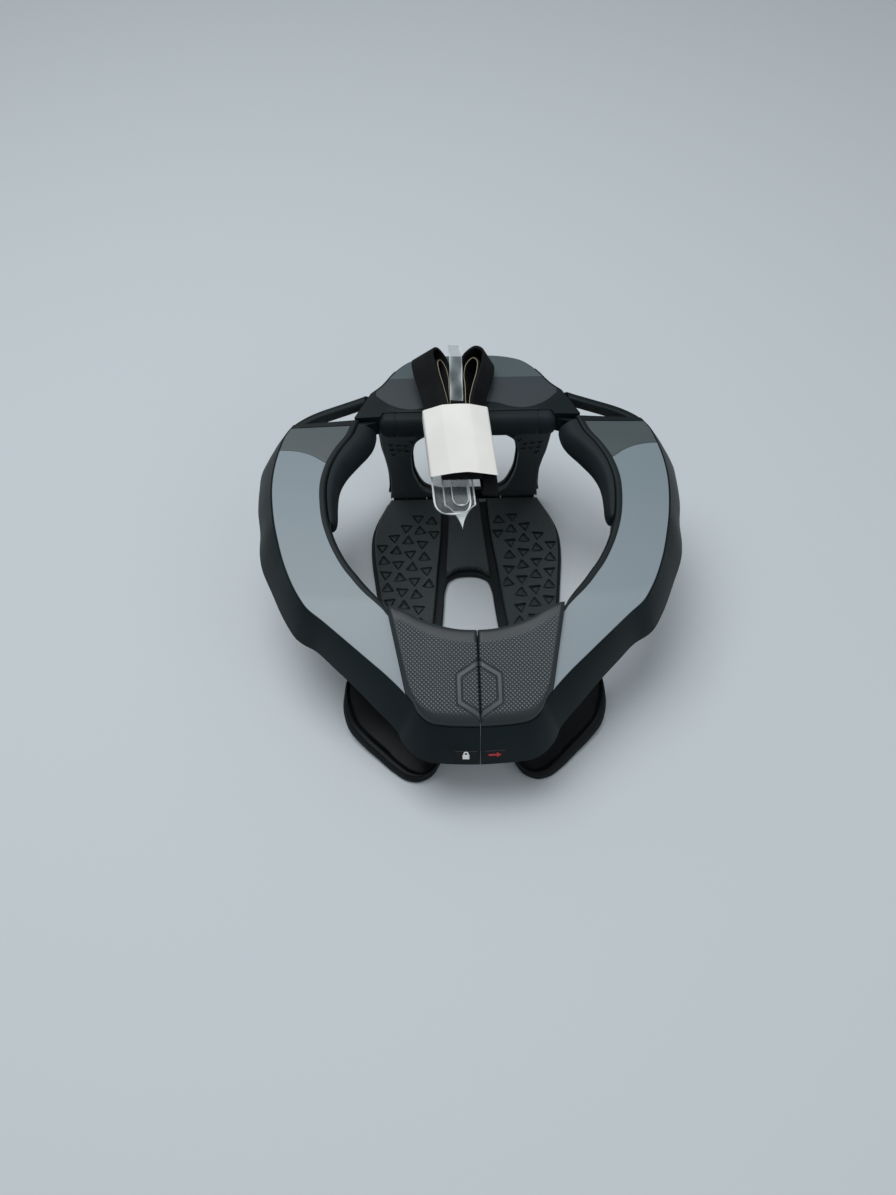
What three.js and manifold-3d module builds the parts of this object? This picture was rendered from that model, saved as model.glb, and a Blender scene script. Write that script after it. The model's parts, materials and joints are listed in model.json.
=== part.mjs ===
// Motocross neck brace, standing on its folded back strut and its two chest wings.
// Millimetres, +Z up, the front of the brace towards -Y, its right-hand half as seen from there on +X.
import * as THREE from 'three';
import Module from 'manifold-3d';
import { mergeVertices } from 'three/addons/utils/BufferGeometryUtils.js';

const wasm = await Module();
wasm.setup();

// Driving dimensions of the collar
const collarHalfWidth = 134; // to the outer edge of the top surface, without the skirt
const collarHalfLength = 141;
const frontTopHeight = 66.6; // top surface above the floor at the front end
const frontPitch = 18.7; // slope of the top surface at the front, degrees
const rearPitch = 5.5; // slope of the top surface at the back, degrees
const skirtDrop = 26;
const skirtLean = 12;
const innerDrop = 20;
const shellWall = 3;
const lipWidth = 4.6;
const outerLip = 1.1;
const lipRound = 2.4; // rounding of the neck opening's edge
const inlayDepth = 1.5;
const splitGap = 1.2;
const seam = 0.3; // clearance between pieces that touch
const jointGap = 0.6; // clearance between pieces that move past each other

// Driving dimensions of the rear table, its hinges and the outer bars
const tableHalfWidth = 67.5;
const tableFront = 90;
const tableDrop = 20;
const tableLean = 2.5;
const channelHalfWidth = 56;
const coverWall = 4;
const barPadDepth = 9;
const barPadHalfWidth = 59;
const barPadHeight = 19;
const pinRadius = 3;
const knuckleRadius = 6;
const knuckleHeight = 12;
const cornerLap = 6; // how far the corner plates lap over the table's channel
const hingeX = 63;
const hingeY = 102;
const barWidth = 5.5;
const barHeight = 18;
const barLean = 5;

// Driving dimensions of the pads on the collar
const frontPadHeight = 5.5;
const bolsterHeight = 23;
const bolsterDepth = 14;
const bolsterDrop = 2.6; // top of the bolster below the top surface
const labelHeight = 6;
const labelWall = 0.8;

// Driving dimensions of the chest wings
const wingWall = 2.6;
const wingPadHeight = 4.5;
const wingDish = 1.4;
const postLength = 18;
const postWidth = 9;
const postPlace = 0.84; // share of the way from the wing's outer edge to its inner edge

// Driving dimensions of the back strut
const strutHalfWidth = 74.5;
const strutFront = -60;
const strutAxisY = 112;
const strutAxisZ = 5.5;
const strutBarrel = 5;
const strutPin = 2;
const strutPlate = 4;
const strutPadHeight = 5.7;
const earWidth = 11;
const columnWall = 3.5;
const columnPad = 5;
const columnHeight = 98;
const columnReach = 12; // how far forward of the hinge axis the columns' top lies
const columnMargin = 2.5; // bare edge of the columns outside their pads

// Driving dimensions of the folded straps and the paper band round them
const webbingWidth = 20;
const webbingWall = 1.8;
const clearWall = 1;
const sleeveWidth = 49;
const sleeveLength = 52;
const sleeveHeight = 24;
const sleeveRound = 8;
const paperWall = 1;
const bundleSlope = 12; // degrees below level, towards the front
const bundleY = 80; // rear end of the paper band
const bundleX = -7;
const loopLength = 47;
const loopHeight = 17;

// Half of the collar seen from above: the outer edge of the top surface and the edge of the neck
// opening, as shares of the half width and half length, and the skirt's lean as a share.
const collarRows = [
  { outX: 0.903, outY: 0.578, inX: 0.56, inY: 0.6, lean: 0.75 },
  { outX: 0.944, outY: 0.518, inX: 0.593, inY: 0.514, lean: 1.1 },
  { outX: 0.97, outY: 0.44, inX: 0.646, inY: 0.44, lean: 1.3 },
  { outX: 0.993, outY: 0.333, inX: 0.694, inY: 0.348, lean: 1.15 },
  { outX: 1.0, outY: 0.234, inX: 0.718, inY: 0.248, lean: 1.05 },
  { outX: 0.991, outY: 0.113, inX: 0.716, inY: 0.135, lean: 0.95 },
  { outX: 0.977, outY: 0.028, inX: 0.701, inY: 0.043, lean: 1.1 },
  { outX: 0.961, outY: -0.039, inX: 0.681, inY: -0.021, lean: 1.15 },
  { outX: 0.923, outY: -0.167, inX: 0.634, inY: -0.121, lean: 0.95 },
  { outX: 0.846, outY: -0.326, inX: 0.586, inY: -0.191, lean: 0.9 },
  { outX: 0.813, outY: -0.372, inX: 0.567, inY: -0.213, lean: 0.9 },
  { outX: 0.735, outY: -0.436, inX: 0.541, inY: -0.245, lean: 0.7 },
  { outX: 0.646, outY: -0.509, inX: 0.511, inY: -0.279, lean: 0.75 },
  { outX: 0.522, outY: -0.61, inX: 0.474, inY: -0.318, lean: 0.85 },
  { outX: 0.418, outY: -0.695, inX: 0.444, inY: -0.353, lean: 1 },
  { outX: 0.336, outY: -0.773, inX: 0.422, inY: -0.383, lean: 1 },
  { outX: 0.306, outY: -0.809, inX: 0.399, inY: -0.39, lean: 1 },
  { outX: 0.28, outY: -0.858, inX: 0.343, inY: -0.411, lean: 1 },
  { outX: 0.231, outY: -0.897, inX: 0.269, inY: -0.45, lean: 1 },
  { outX: 0.164, outY: -0.91, inX: 0.179, inY: -0.482, lean: 0.96 },
  { outX: 0.082, outY: -0.915, inX: 0.09, inY: -0.501, lean: 0.96 },
  { outX: 0, outY: -0.917, inX: 0, inY: -0.506, lean: 0.96 },
];
const firstPadRow = 15; // the front pad runs from this row to the split
const labelRows = [19.6, 20.8]; // the labels lie between these two

// Section of the front pad: share of the way from the neck opening to the outer edge, and height
// above the collar as a share of the pad's
const padProfile = [
  { share: -0.01, rise: 0.27 },
  { share: 0.02, rise: 0.9 },
  { share: 0.1, rise: 1.05 },
  { share: 0.45, rise: 1.05 },
  { share: 0.75, rise: 1.05 },
  { share: 0.895, rise: 0.88 },
  { share: 0.95, rise: 0.27 },
];
const padEnds = [0.25, 0.75]; // height of the pad's first sections, as shares

// Where the mid grey inlay of an arm ends: shares of the half width and half length
const inlayBorder = [
  { x: 1.06, y: 0.43 },
  { x: 0.965, y: 0.43 },
  { x: 0.91, y: 0.428 },
  { x: 0.84, y: 0.415 },
  { x: 0.785, y: 0.392 },
  { x: 0.735, y: 0.36 },
  { x: 0.6, y: 0.3 },
];

// Rear edge of the table, as shares of its half width and of its depth behind tableFront
const tableRows = [
  { across: 0, back: 1 },
  { across: 0.36, back: 0.995 },
  { across: 0.49, back: 0.96 },
  { across: 0.6, back: 0.905 },
  { across: 0.69, back: 0.81 },
  { across: 0.775, back: 0.685 },
  { across: 0.89, back: 0.475 },
  { across: 1, back: 0.34 },
];

// Front edge of the mid grey inlay on the table, as shares of the same two sizes
const tableInlayRows = [
  { across: 0, back: 0.17 },
  { across: 0.33, back: 0.13 },
  { across: 0.45, back: 0.07 },
  { across: 0.59, back: 0.045 },
  { across: 0.7, back: 0.075 },
  { across: 0.82, back: 0.15 },
  { across: 0.95, back: 0.3 },
];
const tableInlaySplit = 0.58; // share of the depth where light grey meets mid grey

// Route of the outer bar round the rear slot, from the arm to the hinge, as shares of the collar
const outerBarRows = [
  { x: 0.925, y: 0.5 },
  { x: 0.89, y: 0.56 },
  { x: 0.83, y: 0.606 },
  { x: 0.765, y: 0.639 },
  { x: 0.69, y: 0.668 },
  { x: 0.62, y: 0.694 },
  { x: 0.562, y: 0.724 },
  { x: 0.527, y: 0.741 },
];

// Bolster along the neck opening: a collar row, with depth and height as shares
const bolsterRows = [
  { row: 0.95, depth: 0.45, height: 0.6 },
  { row: 1.25, depth: 0.95, height: 0.9 },
  { row: 1.7, depth: 1.05, height: 1 },
  { row: 2.3, depth: 0.92, height: 1 },
  { row: 3, depth: 0.68, height: 0.95 },
  { row: 3.6, depth: 0.56, height: 0.88 },
  { row: 4.3, depth: 0.5, height: 0.8 },
  { row: 5, depth: 0.44, height: 0.72 },
  { row: 5.7, depth: 0.36, height: 0.62 },
  { row: 6.1, depth: 0.2, height: 0.5 },
];

// Chest wing: outer and inner edge of its plate, as shares of the half width, half length and
// front top height
const wingRows = [
  { outX: 0.64, outY: -0.43, outZ: 0.38, inX: 0.61, inY: -0.435, inZ: 0.43 },
  { outX: 0.66, outY: -0.52, outZ: 0.34, inX: 0.52, inY: -0.48, inZ: 0.44 },
  { outX: 0.658, outY: -0.605, outZ: 0.27, inX: 0.43, inY: -0.5, inZ: 0.42 },
  { outX: 0.63, outY: -0.68, outZ: 0.2, inX: 0.39, inY: -0.545, inZ: 0.37 },
  { outX: 0.57, outY: -0.745, outZ: 0.155, inX: 0.34, inY: -0.585, inZ: 0.33 },
  { outX: 0.49, outY: -0.815, outZ: 0.13, inX: 0.285, inY: -0.64, inZ: 0.3 },
  { outX: 0.41, outY: -0.885, outZ: 0.112, inX: 0.24, inY: -0.7, inZ: 0.28 },
  { outX: 0.345, outY: -0.928, outZ: 0.108, inX: 0.215, inY: -0.745, inZ: 0.26 },
  { outX: 0.285, outY: -0.938, outZ: 0.108, inX: 0.21, inY: -0.785, inZ: 0.25 },
  { outX: 0.23, outY: -0.915, outZ: 0.115, inX: 0.19, inY: -0.79, inZ: 0.25 },
  { outX: 0.185, outY: -0.86, outZ: 0.14, inX: 0.175, inY: -0.78, inZ: 0.25 },
];

// Half outline of the lower strut plate, as shares of its half width and of its length from the
// hinge axis forward
const strutRows = [
  { x: 0.79, y: 0.035 },
  { x: 0.83, y: 0.075 },
  { x: 0.9, y: 0.14 },
  { x: 0.96, y: 0.2 },
  { x: 0.992, y: 0.255 },
  { x: 1, y: 0.3 },
  { x: 0.987, y: 0.385 },
  { x: 0.96, y: 0.475 },
  { x: 0.925, y: 0.585 },
  { x: 0.89, y: 0.69 },
  { x: 0.84, y: 0.79 },
  { x: 0.76, y: 0.89 },
  { x: 0.67, y: 0.96 },
  { x: 0.56, y: 1 },
  { x: 0.45, y: 0.985 },
  { x: 0.375, y: 0.92 },
  { x: 0.325, y: 0.84 },
  { x: 0.285, y: 0.74 },
  { x: 0.258, y: 0.62 },
  { x: 0.235, y: 0.525 },
  { x: 0.2, y: 0.483 },
  { x: 0.12, y: 0.46 },
  { x: 0, y: 0.452 },
];
const firstSlotRow = 15; // from this row on, the outline follows the slot between the legs

// The two grooves between the side pads and the centre pad: x of each edge, at a share of length
const grooveRows = [
  { y: 0.04, inner: 0.165, outer: 0.24 },
  { y: 0.27, inner: 0.195, outer: 0.268 },
  { y: 0.45, inner: 0.225, outer: 0.31 },
  { y: 0.62, inner: 0.275, outer: 0.345 },
  { y: 0.77, inner: 0.31, outer: 0.385 },
  { y: 0.9, inner: 0.37, outer: 0.45 },
];

// Columns of the upper strut: half widths of the outside and of the hole, as shares of the lower
// strut's, and the face of the pads as a share of columnReach, at shares of the column height
const columnRows = [
  { z: 0.118, out: 0.79, hole: 0.4, forward: 0.43 },
  { z: 0.18, out: 0.8, hole: 0.45, forward: 0.27 },
  { z: 0.3, out: 0.82, hole: 0.5, forward: 0.13 },
  { z: 0.5, out: 0.845, hole: 0.53, forward: 0.28 },
  { z: 0.65, out: 0.855, hole: 0.52, forward: 0.5 },
  { z: 0.8, out: 0.865, hole: 0.46, forward: 0.73 },
  { z: 0.9, out: 0.87, hole: 0.3, forward: 0.87 },
  { z: 1, out: 0.87, hole: 0.05, forward: 1 },
];

// Teardrop of a folded webbing loop: along the bundle behind the paper band, as a share of the
// loop's length, and to the side, as a share of its height
const loopRows = [
  { along: -0.85, up: 0.17 },
  { along: 0.05, up: 0.17 },
  { along: 0.35, up: 0.3 },
  { along: 0.7, up: 0.48 },
  { along: 0.9, up: 0.42 },
  { along: 1, up: 0.05 },
  { along: 0.9, up: -0.38 },
  { along: 0.7, up: -0.48 },
  { along: 0.35, up: -0.28 },
  { along: 0.05, up: -0.15 },
  { along: -0.85, up: -0.15 },
];

// Strap end below the band, as shares of the band's length and height
const endRows = [
  { along: -0.9, up: 0 },
  { along: -1.05, up: -0.02 },
  { along: -1.2, up: -0.08 },
  { along: -1.3, up: -0.15 },
];

// Clear strap between the webbing loops, as shares of the loops' length and height
const clearRows = [
  { along: 0.02, up: 0 },
  { along: 0.3, up: 0.03 },
  { along: 0.6, up: 0.09 },
  { along: 0.85, up: 0.06 },
  { along: 1, up: -0.09 },
];

// The folded webbing loops: turn about the bundle's axis in degrees, and places across and above
// it at the band and at the far end, in webbing widths
const loopPlaces = [
  { name: 'strap_loop_left', roll: -42, across: -0.66, farAcross: -0.95, farUp: -0.22 },
  { name: 'strap_loop_right', roll: 66, across: 0.5, farAcross: 0.8, farUp: -0.25 },
];

const radians = THREE.MathUtils.degToRad;
const lerp = THREE.MathUtils.lerp;

// Height of the collar's top surface, which flattens evenly from the front to the back
function topHeight(y) {
  const along = (y + collarHalfLength) / (2 * collarHalfLength);
  const front = Math.tan(radians(frontPitch));
  const rear = Math.tan(radians(rearPitch));
  return frontTopHeight + 2 * collarHalfLength * (front * along + ((rear - front) * along * along) / 2);
}

// Slope of the top surface, as a rise over a run
function topSlope(y) {
  const along = (y + collarHalfLength) / (2 * collarHalfLength);
  return lerp(Math.tan(radians(frontPitch)), Math.tan(radians(rearPitch)), along);
}

// Triangles over one flat outline, wound the same way as the outline
function fillOutline(contour) {
  const turn = Math.sign(THREE.ShapeUtils.area(contour));
  return THREE.ShapeUtils.triangulateShape(contour, []).map(([a, b, c]) => {
    const same = Math.sign(THREE.ShapeUtils.area([contour[a], contour[b], contour[c]])) === turn;
    return same ? [a, b, c] : [a, c, b];
  });
}

// Turns a closed triangle list the right way out and makes a geometry of it
function closedGeometry(points, faces) {
  let volume = 0;
  for (const [a, b, c] of faces) {
    volume += points[a].dot(new THREE.Vector3().crossVectors(points[b], points[c]));
  }
  const outward = volume > 0 ? faces : faces.map(([a, b, c]) => [a, c, b]);
  const geometry = new THREE.BufferGeometry();
  geometry.setFromPoints(points);
  geometry.setIndex(outward.flat());
  return geometry;
}

// A closed body through sections with the same number of points, capped at both ends
function loft(sections) {
  const size = sections[0].length;
  const points = sections.flat();
  const faces = [];
  for (let s = 0; s < sections.length - 1; s += 1) {
    for (let i = 0; i < size; i += 1) {
      const next = (i + 1) % size;
      const a = s * size;
      const b = a + size;
      faces.push([a + i, a + next, b + next], [a + i, b + next, b + i]);
    }
  }
  for (const end of [0, sections.length - 1]) {
    const cap = fillOutline(flatten(sections[end]));
    for (const [a, b, c] of cap) {
      const shift = end * size;
      faces.push(end === 0 ? [a, c, b] : [a + shift, b + shift, c + shift]);
    }
  }
  return closedGeometry(points, faces);
}

// A section's points in the plane that it lies nearest to
function flatten(section) {
  const normal = new THREE.Vector3();
  section.forEach((point, i) => {
    const next = section[(i + 1) % section.length];
    normal.add(new THREE.Vector3().crossVectors(point, next));
  });
  normal.normalize();
  const across = section[1].clone().sub(section[0]);
  across.addScaledVector(normal, -across.dot(normal)).normalize();
  const up = new THREE.Vector3().crossVectors(normal, across);
  return section.map((point) => new THREE.Vector2(point.dot(across), point.dot(up)));
}

// A plate over a plan outline, between two heights that may vary, placed by a function
function slab(outline, low, high, place = (x, y, z) => new THREE.Vector3(x, y, z)) {
  const size = outline.length;
  const points = [];
  for (const height of [low, high]) {
    points.push(...outline.map((p) => place(p.x, p.y, height(p.x, p.y))));
  }
  const faces = [];
  for (const [a, b, c] of fillOutline(outline)) {
    faces.push([a, c, b], [a + size, b + size, c + size]);
  }
  outline.forEach((_, a) => {
    const b = (a + 1) % size;
    faces.push([a, b, b + size], [a, b + size, a + size]);
  });
  return closedGeometry(points, faces);
}

function solidOf(geometry) {
  const bare = geometry.clone();
  bare.deleteAttribute('normal');
  bare.deleteAttribute('uv');
  const merged = mergeVertices(bare, 1e-4);
  const vertProperties = new Float32Array(merged.attributes.position.array);
  const triVerts = new Uint32Array(merged.index.array);
  return new wasm.Manifold(new wasm.Mesh({ numProp: 3, vertProperties, triVerts }));
}

function geometryOf(solid) {
  const mesh = solid.getMesh();
  const geometry = new THREE.BufferGeometry();
  geometry.setAttribute('position', new THREE.BufferAttribute(new Float32Array(mesh.vertProperties), 3));
  geometry.setIndex(new THREE.BufferAttribute(new Uint32Array(mesh.triVerts), 1));
  return geometry;
}

// Joins geometries and then cuts others out of them
function carve(joined, cut = []) {
  let solid = joined.map(solidOf).reduce((sum, next) => sum.add(next));
  for (const tool of cut) {
    solid = solid.subtract(solidOf(tool));
  }
  return geometryOf(solid);
}

// The same piece on the other side of the middle plane
function mirrored(geometry) {
  const other = mergeVertices(geometry.clone());
  const position = other.attributes.position;
  for (let i = 0; i < position.count; i += 1) {
    position.setX(i, -position.getX(i));
  }
  const index = other.index;
  for (let i = 0; i < index.count; i += 3) {
    const held = index.getX(i + 1);
    index.setX(i + 1, index.getX(i + 2));
    index.setX(i + 2, held);
  }
  return other;
}

// A tilted cylinder from one point to another
function rod(from, to, radius, sides = 16) {
  const geometry = new THREE.CylinderGeometry(radius, radius, from.distanceTo(to), sides);
  const direction = to.clone().sub(from).normalize();
  const turn = new THREE.Quaternion().setFromUnitVectors(new THREE.Vector3(0, 1, 0), direction);
  geometry.applyQuaternion(turn);
  const middle = from.clone().add(to).multiplyScalar(0.5);
  geometry.translate(middle.x, middle.y, middle.z);
  return geometry;
}

const brace = new THREE.Group();

function addPiece(name, geometry, material) {
  geometry.computeVertexNormals();
  const mesh = new THREE.Mesh(geometry, material);
  mesh.name = name;
  brace.add(mesh);
}

function finish(color, roughness) {
  return new THREE.MeshStandardMaterial({ color, roughness, metalness: 0 });
}

const blackShell = finish(0x1a2226, 0.55);
const lightGrey = finish(0x8f9ca2, 0.45);
const midGrey = finish(0x565f64, 0.45);
const blackFoam = finish(0x24292c, 0.8);
const wovenPad = finish(0x3a4246, 0.75);
const strutFoam = finish(0x2a3033, 0.8);
const webbing = finish(0x14181a, 0.9);
const clearPlastic = finish(0xb9c2c4, 0.15);
const paper = finish(0xe8e8e6, 0.85);
const labelPlate = finish(0x101416, 0.5);
const steel = finish(0x8a8f92, 0.35);

// One collar row in millimetres, between two rows of the table where the number isn't whole
function collarRow(number) {
  const low = Math.min(Math.floor(number), collarRows.length - 2);
  const share = number - low;
  const a = collarRows[low];
  const b = collarRows[low + 1];
  const across = (key) => Math.max(lerp(a[key], b[key], share) * collarHalfWidth, splitGap / 2);
  const along = (key) => lerp(a[key], b[key], share) * collarHalfLength;
  return {
    outer: new THREE.Vector2(across('outX'), along('outY')),
    inner: new THREE.Vector2(across('inX'), along('inY')),
    lean: lerp(a.lean, b.lean, share) * skirtLean,
  };
}

// Outward direction, in plan, of the collar's outer edge at a row
function outward(number) {
  const before = collarRow(Math.max(number - 0.5, 0)).outer;
  const after = collarRow(Math.min(number + 0.5, collarRows.length - 1)).outer;
  const run = after.sub(before).normalize();
  return new THREE.Vector2(-run.y, run.x);
}

// Point of a collar section: a distance from the neck opening towards the outer edge, a depth
// below the top surface, and a reach past the outer edge
function sectionPoint(number, from, depth, reach = 0) {
  const { outer, inner } = collarRow(number);
  const way = outer.clone().sub(inner);
  const length = way.length();
  const flat = inner.clone().addScaledVector(way, from(length) / length);
  const z = topHeight(flat.y) - depth;
  if (reach !== 0) {
    flat.addScaledVector(outward(number), reach);
    flat.x = Math.max(flat.x, splitGap / 2);
  }
  return new THREE.Vector3(flat.x, flat.y, z);
}

// The loft's wider middle rows are held at the split plane
function holdAtSplit(section, number) {
  if (number === collarRows.length - 1) {
    section.forEach((point) => point.setX(splitGap / 2));
  }
  return section;
}

const near = (distance) => () => distance;
const far = (distance) => (length) => length - distance;

// Channel section of the arm, open below, with a shallow bed for the inlays
function armSection(number) {
  const { lean } = collarRow(number);
  const under = inlayDepth + shellWall;
  const section = [
    sectionPoint(number, near(0), innerDrop),
    sectionPoint(number, near(0), lipRound),
    sectionPoint(number, near(0.3 * lipRound), 0.3 * lipRound),
    sectionPoint(number, near(lipRound), 0),
    sectionPoint(number, near(lipWidth), 0),
    sectionPoint(number, near(lipWidth), inlayDepth),
    sectionPoint(number, far(outerLip), inlayDepth),
    sectionPoint(number, far(outerLip), 0.1),
    sectionPoint(number, far(0), 0.6),
    sectionPoint(number, far(0), skirtDrop, lean),
    sectionPoint(number, far(0), skirtDrop, lean - shellWall),
    sectionPoint(number, far(shellWall), under),
    sectionPoint(number, near(shellWall), under),
    sectionPoint(number, near(shellWall), innerDrop),
  ];
  return holdAtSplit(section, number);
}

// The wall that closes the arm's channel beside the rear slot
function rearWallSection(number) {
  const section = armSection(number);
  return section.filter((_, i) => i < 5 || i === 8 || i === 9).concat(section[10]);
}

const lastRow = collarRows.length - 1;
const rowNumbers = collarRows.map((_, i) => i);

function outerBar() {
  const route = outerBarRows.map(({ x, y }) => new THREE.Vector2(x * collarHalfWidth, y * collarHalfLength));
  const sections = route.map((point, i) => {
    const before = route[Math.max(i - 1, 0)];
    const after = route[Math.min(i + 1, route.length - 1)];
    const run = after.clone().sub(before).normalize();
    const side = new THREE.Vector2(run.y, -run.x);
    const corner = (offset, depth) => {
      const flat = point.clone().addScaledVector(side, offset);
      return new THREE.Vector3(flat.x, flat.y, topHeight(point.y) - depth);
    };
    const half = barWidth / 2;
    const lower = barHeight;
    return [
      corner(-half, 0.8),
      corner(-half + 0.8, 0),
      corner(half - 0.8, 0),
      corner(half, 0.8),
      corner(half + barLean, lower),
      corner(barLean - half, lower),
    ];
  });
  return loft(sections);
}

// The arms turn about an axis square to the top surface above the hinge
const hingeSlope = topSlope(hingeY);
const hingeAxis = new THREE.Vector3(0, -hingeSlope, 1).normalize();
function hingeHeight(y, depth) {
  return topHeight(hingeY) + hingeSlope * (y - hingeY) - depth;
}
function onHinge(depth) {
  return new THREE.Vector3(hingeX, hingeY, topHeight(hingeY)).addScaledVector(hingeAxis, -depth);
}

// Plan outline helpers for the hinge corner of the table
const coverTip = new THREE.Vector2(0.588 * collarHalfWidth, 0.614 * collarHalfLength);
const tableDepth = collarHalfLength - 0.5 - tableFront;
const coverBack = new THREE.Vector2(tableHalfWidth, tableFront + tableRows.at(-1).back * tableDepth);
const knuckleTop = coverWall + jointGap;

// The arm's foot under the table's corner: a web to the knuckle that turns on the hinge pin
function armRoot() {
  const start = collarRow(0).inner;
  const outline = [
    new THREE.Vector2(hingeX - knuckleRadius, hingeY),
    new THREE.Vector2(hingeX - knuckleRadius + 2, start.y + 3),
    new THREE.Vector2(start.x - 4, start.y - 1),
    new THREE.Vector2(start.x + 7, start.y - 3),
    new THREE.Vector2(coverTip.x - 3, coverTip.y + 2),
    new THREE.Vector2(hingeX + knuckleRadius + 3.5, hingeY - 1.5),
    new THREE.Vector2(hingeX + knuckleRadius - 0.5, hingeY + 1),
  ];
  const web = slab(
    outline,
    (x, y) => hingeHeight(y, knuckleTop + knuckleHeight),
    (x, y) => hingeHeight(y, knuckleTop),
  );
  const barrel = rod(onHinge(knuckleTop + knuckleHeight), onHinge(knuckleTop), knuckleRadius, 20);
  return [web, barrel];
}

function pinHole() {
  const past = 8;
  return rod(onHinge(knuckleTop + knuckleHeight + past), onHinge(-past), pinRadius + seam, 20);
}

// Everything of the arm that would lie in the table's corner is cut away with room to swing
function cornerRoom() {
  const outline = [
    new THREE.Vector2(0, tableFront - barPadDepth - 2),
    new THREE.Vector2(coverTip.x - 8, coverTip.y - 3.3),
    new THREE.Vector2(coverTip.x + 2 * jointGap, coverTip.y - 1.9),
    new THREE.Vector2(coverBack.x + 1.6, coverBack.y + 1),
    new THREE.Vector2(coverBack.x - 8, coverBack.y + 9),
    new THREE.Vector2(0, coverBack.y + 30),
  ];
  return slab(
    outline,
    (x, y) => topHeight(y) - knuckleTop,
    (x, y) => topHeight(y) + 10,
  );
}

// Clears the bed of the inlays where the wall and the outer bar would reach into it
function bedRoom() {
  const numbers = [0.3, ...rowNumbers.slice(1, firstPadRow)];
  return loft(
    numbers.map((number) => [
      sectionPoint(number, near(lipWidth), inlayDepth),
      sectionPoint(number, near(lipWidth), -skirtDrop),
      sectionPoint(number, far(outerLip), -skirtDrop),
      sectionPoint(number, far(outerLip), inlayDepth),
    ]),
  );
}

function armShell() {
  const channel = loft(rowNumbers.map(armSection));
  const wall = loft([0, 0.35].map(rearWallSection));
  return carve([channel, wall, outerBar(), ...armRoot()], [bedRoom(), cornerRoom(), pinHole()]);
}

// Thin inlay in the arm's bed, from the rear slot to the front pad
function inlayStrip() {
  const bed = inlayDepth - seam;
  const numbers = [0.4, ...rowNumbers.slice(1, firstPadRow), firstPadRow - 0.05];
  return loft(
    numbers.map((number) => [
      sectionPoint(number, near(lipWidth + seam), bed),
      sectionPoint(number, near(lipWidth + seam), 0),
      sectionPoint(number, far(outerLip + seam), 0),
      sectionPoint(number, far(outerLip + seam), bed),
    ]),
  );
}

// Plan area behind the border between the two greys, moved forward by a distance
function behindBorder(shift) {
  const border = inlayBorder.map(({ x, y }) => {
    return new THREE.Vector2(x * collarHalfWidth, y * collarHalfLength - shift);
  });
  const outline = [
    ...border,
    new THREE.Vector2(0.4 * collarHalfWidth, collarHalfLength),
    new THREE.Vector2(1.06 * collarHalfWidth, collarHalfLength),
  ];
  return slab(outline, near(0), near(4 * frontTopHeight));
}

// Half of the soft front pad, keyed into the arm's bed and rolled over the neck opening
function frontPad() {
  const bed = inlayDepth - seam;
  const numbers = [firstPadRow + 0.05, firstPadRow + 0.25, ...rowNumbers.slice(firstPadRow + 1)];
  return loft(
    numbers.map((number, i) => {
      const tall = frontPadHeight * (padEnds[i] ?? 1);
      const edge = far(outerLip + seam);
      const crown = padProfile.map(({ share, rise }) => {
        return sectionPoint(number, (length) => length * share, -rise * tall);
      });
      const section = [
        sectionPoint(number, near(lipWidth + seam), bed),
        sectionPoint(number, near(lipWidth + seam), -seam),
        sectionPoint(number, near(seam), -seam),
        ...crown,
        sectionPoint(number, edge, 0),
        sectionPoint(number, edge, bed),
      ];
      return holdAtSplit(section, number);
    }),
  );
}

// Soft roll along the inner wall, deepest beside the back of the neck
function bolster() {
  return loft(
    bolsterRows.map(({ row, depth, height }) => {
      const reach = depth * bolsterDepth;
      const tall = height * bolsterHeight;
      const section = [];
      const steps = 7;
      for (let i = 0; i <= steps; i += 1) {
        const angle = (Math.PI * i) / steps;
        const out = seam + reach * Math.sin(angle) ** 0.8;
        const drop = bolsterDrop + (tall / 2) * (1 - Math.cos(angle));
        section.push(sectionPoint(row, near(-out), drop));
      }
      return section;
    }),
  );
}

// Label plate on the front rim, beside the split
function label() {
  const corner = (number, share, proud) => {
    const { lean } = collarRow(number);
    return sectionPoint(number, far(0), 0.6 + share * skirtDrop, share * lean + proud);
  };
  const section = (number) => {
    const low = 0.8;
    const high = low - labelHeight / skirtDrop;
    return [
      corner(number, low, seam),
      corner(number, low, seam + labelWall),
      corner(number, high, seam + labelWall),
      corner(number, high, seam),
    ];
  };
  return loft(labelRows.map(section));
}

function wingPoint(row, share, lower) {
  const out = new THREE.Vector3(
    row.outX * collarHalfWidth,
    row.outY * collarHalfLength,
    row.outZ * frontTopHeight,
  );
  const inside = new THREE.Vector3(
    row.inX * collarHalfWidth,
    row.inY * collarHalfLength,
    row.inZ * frontTopHeight,
  );
  const point = out.lerp(inside, share);
  point.z -= lower + wingDish * Math.sin(Math.PI * share);
  return point;
}

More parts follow.
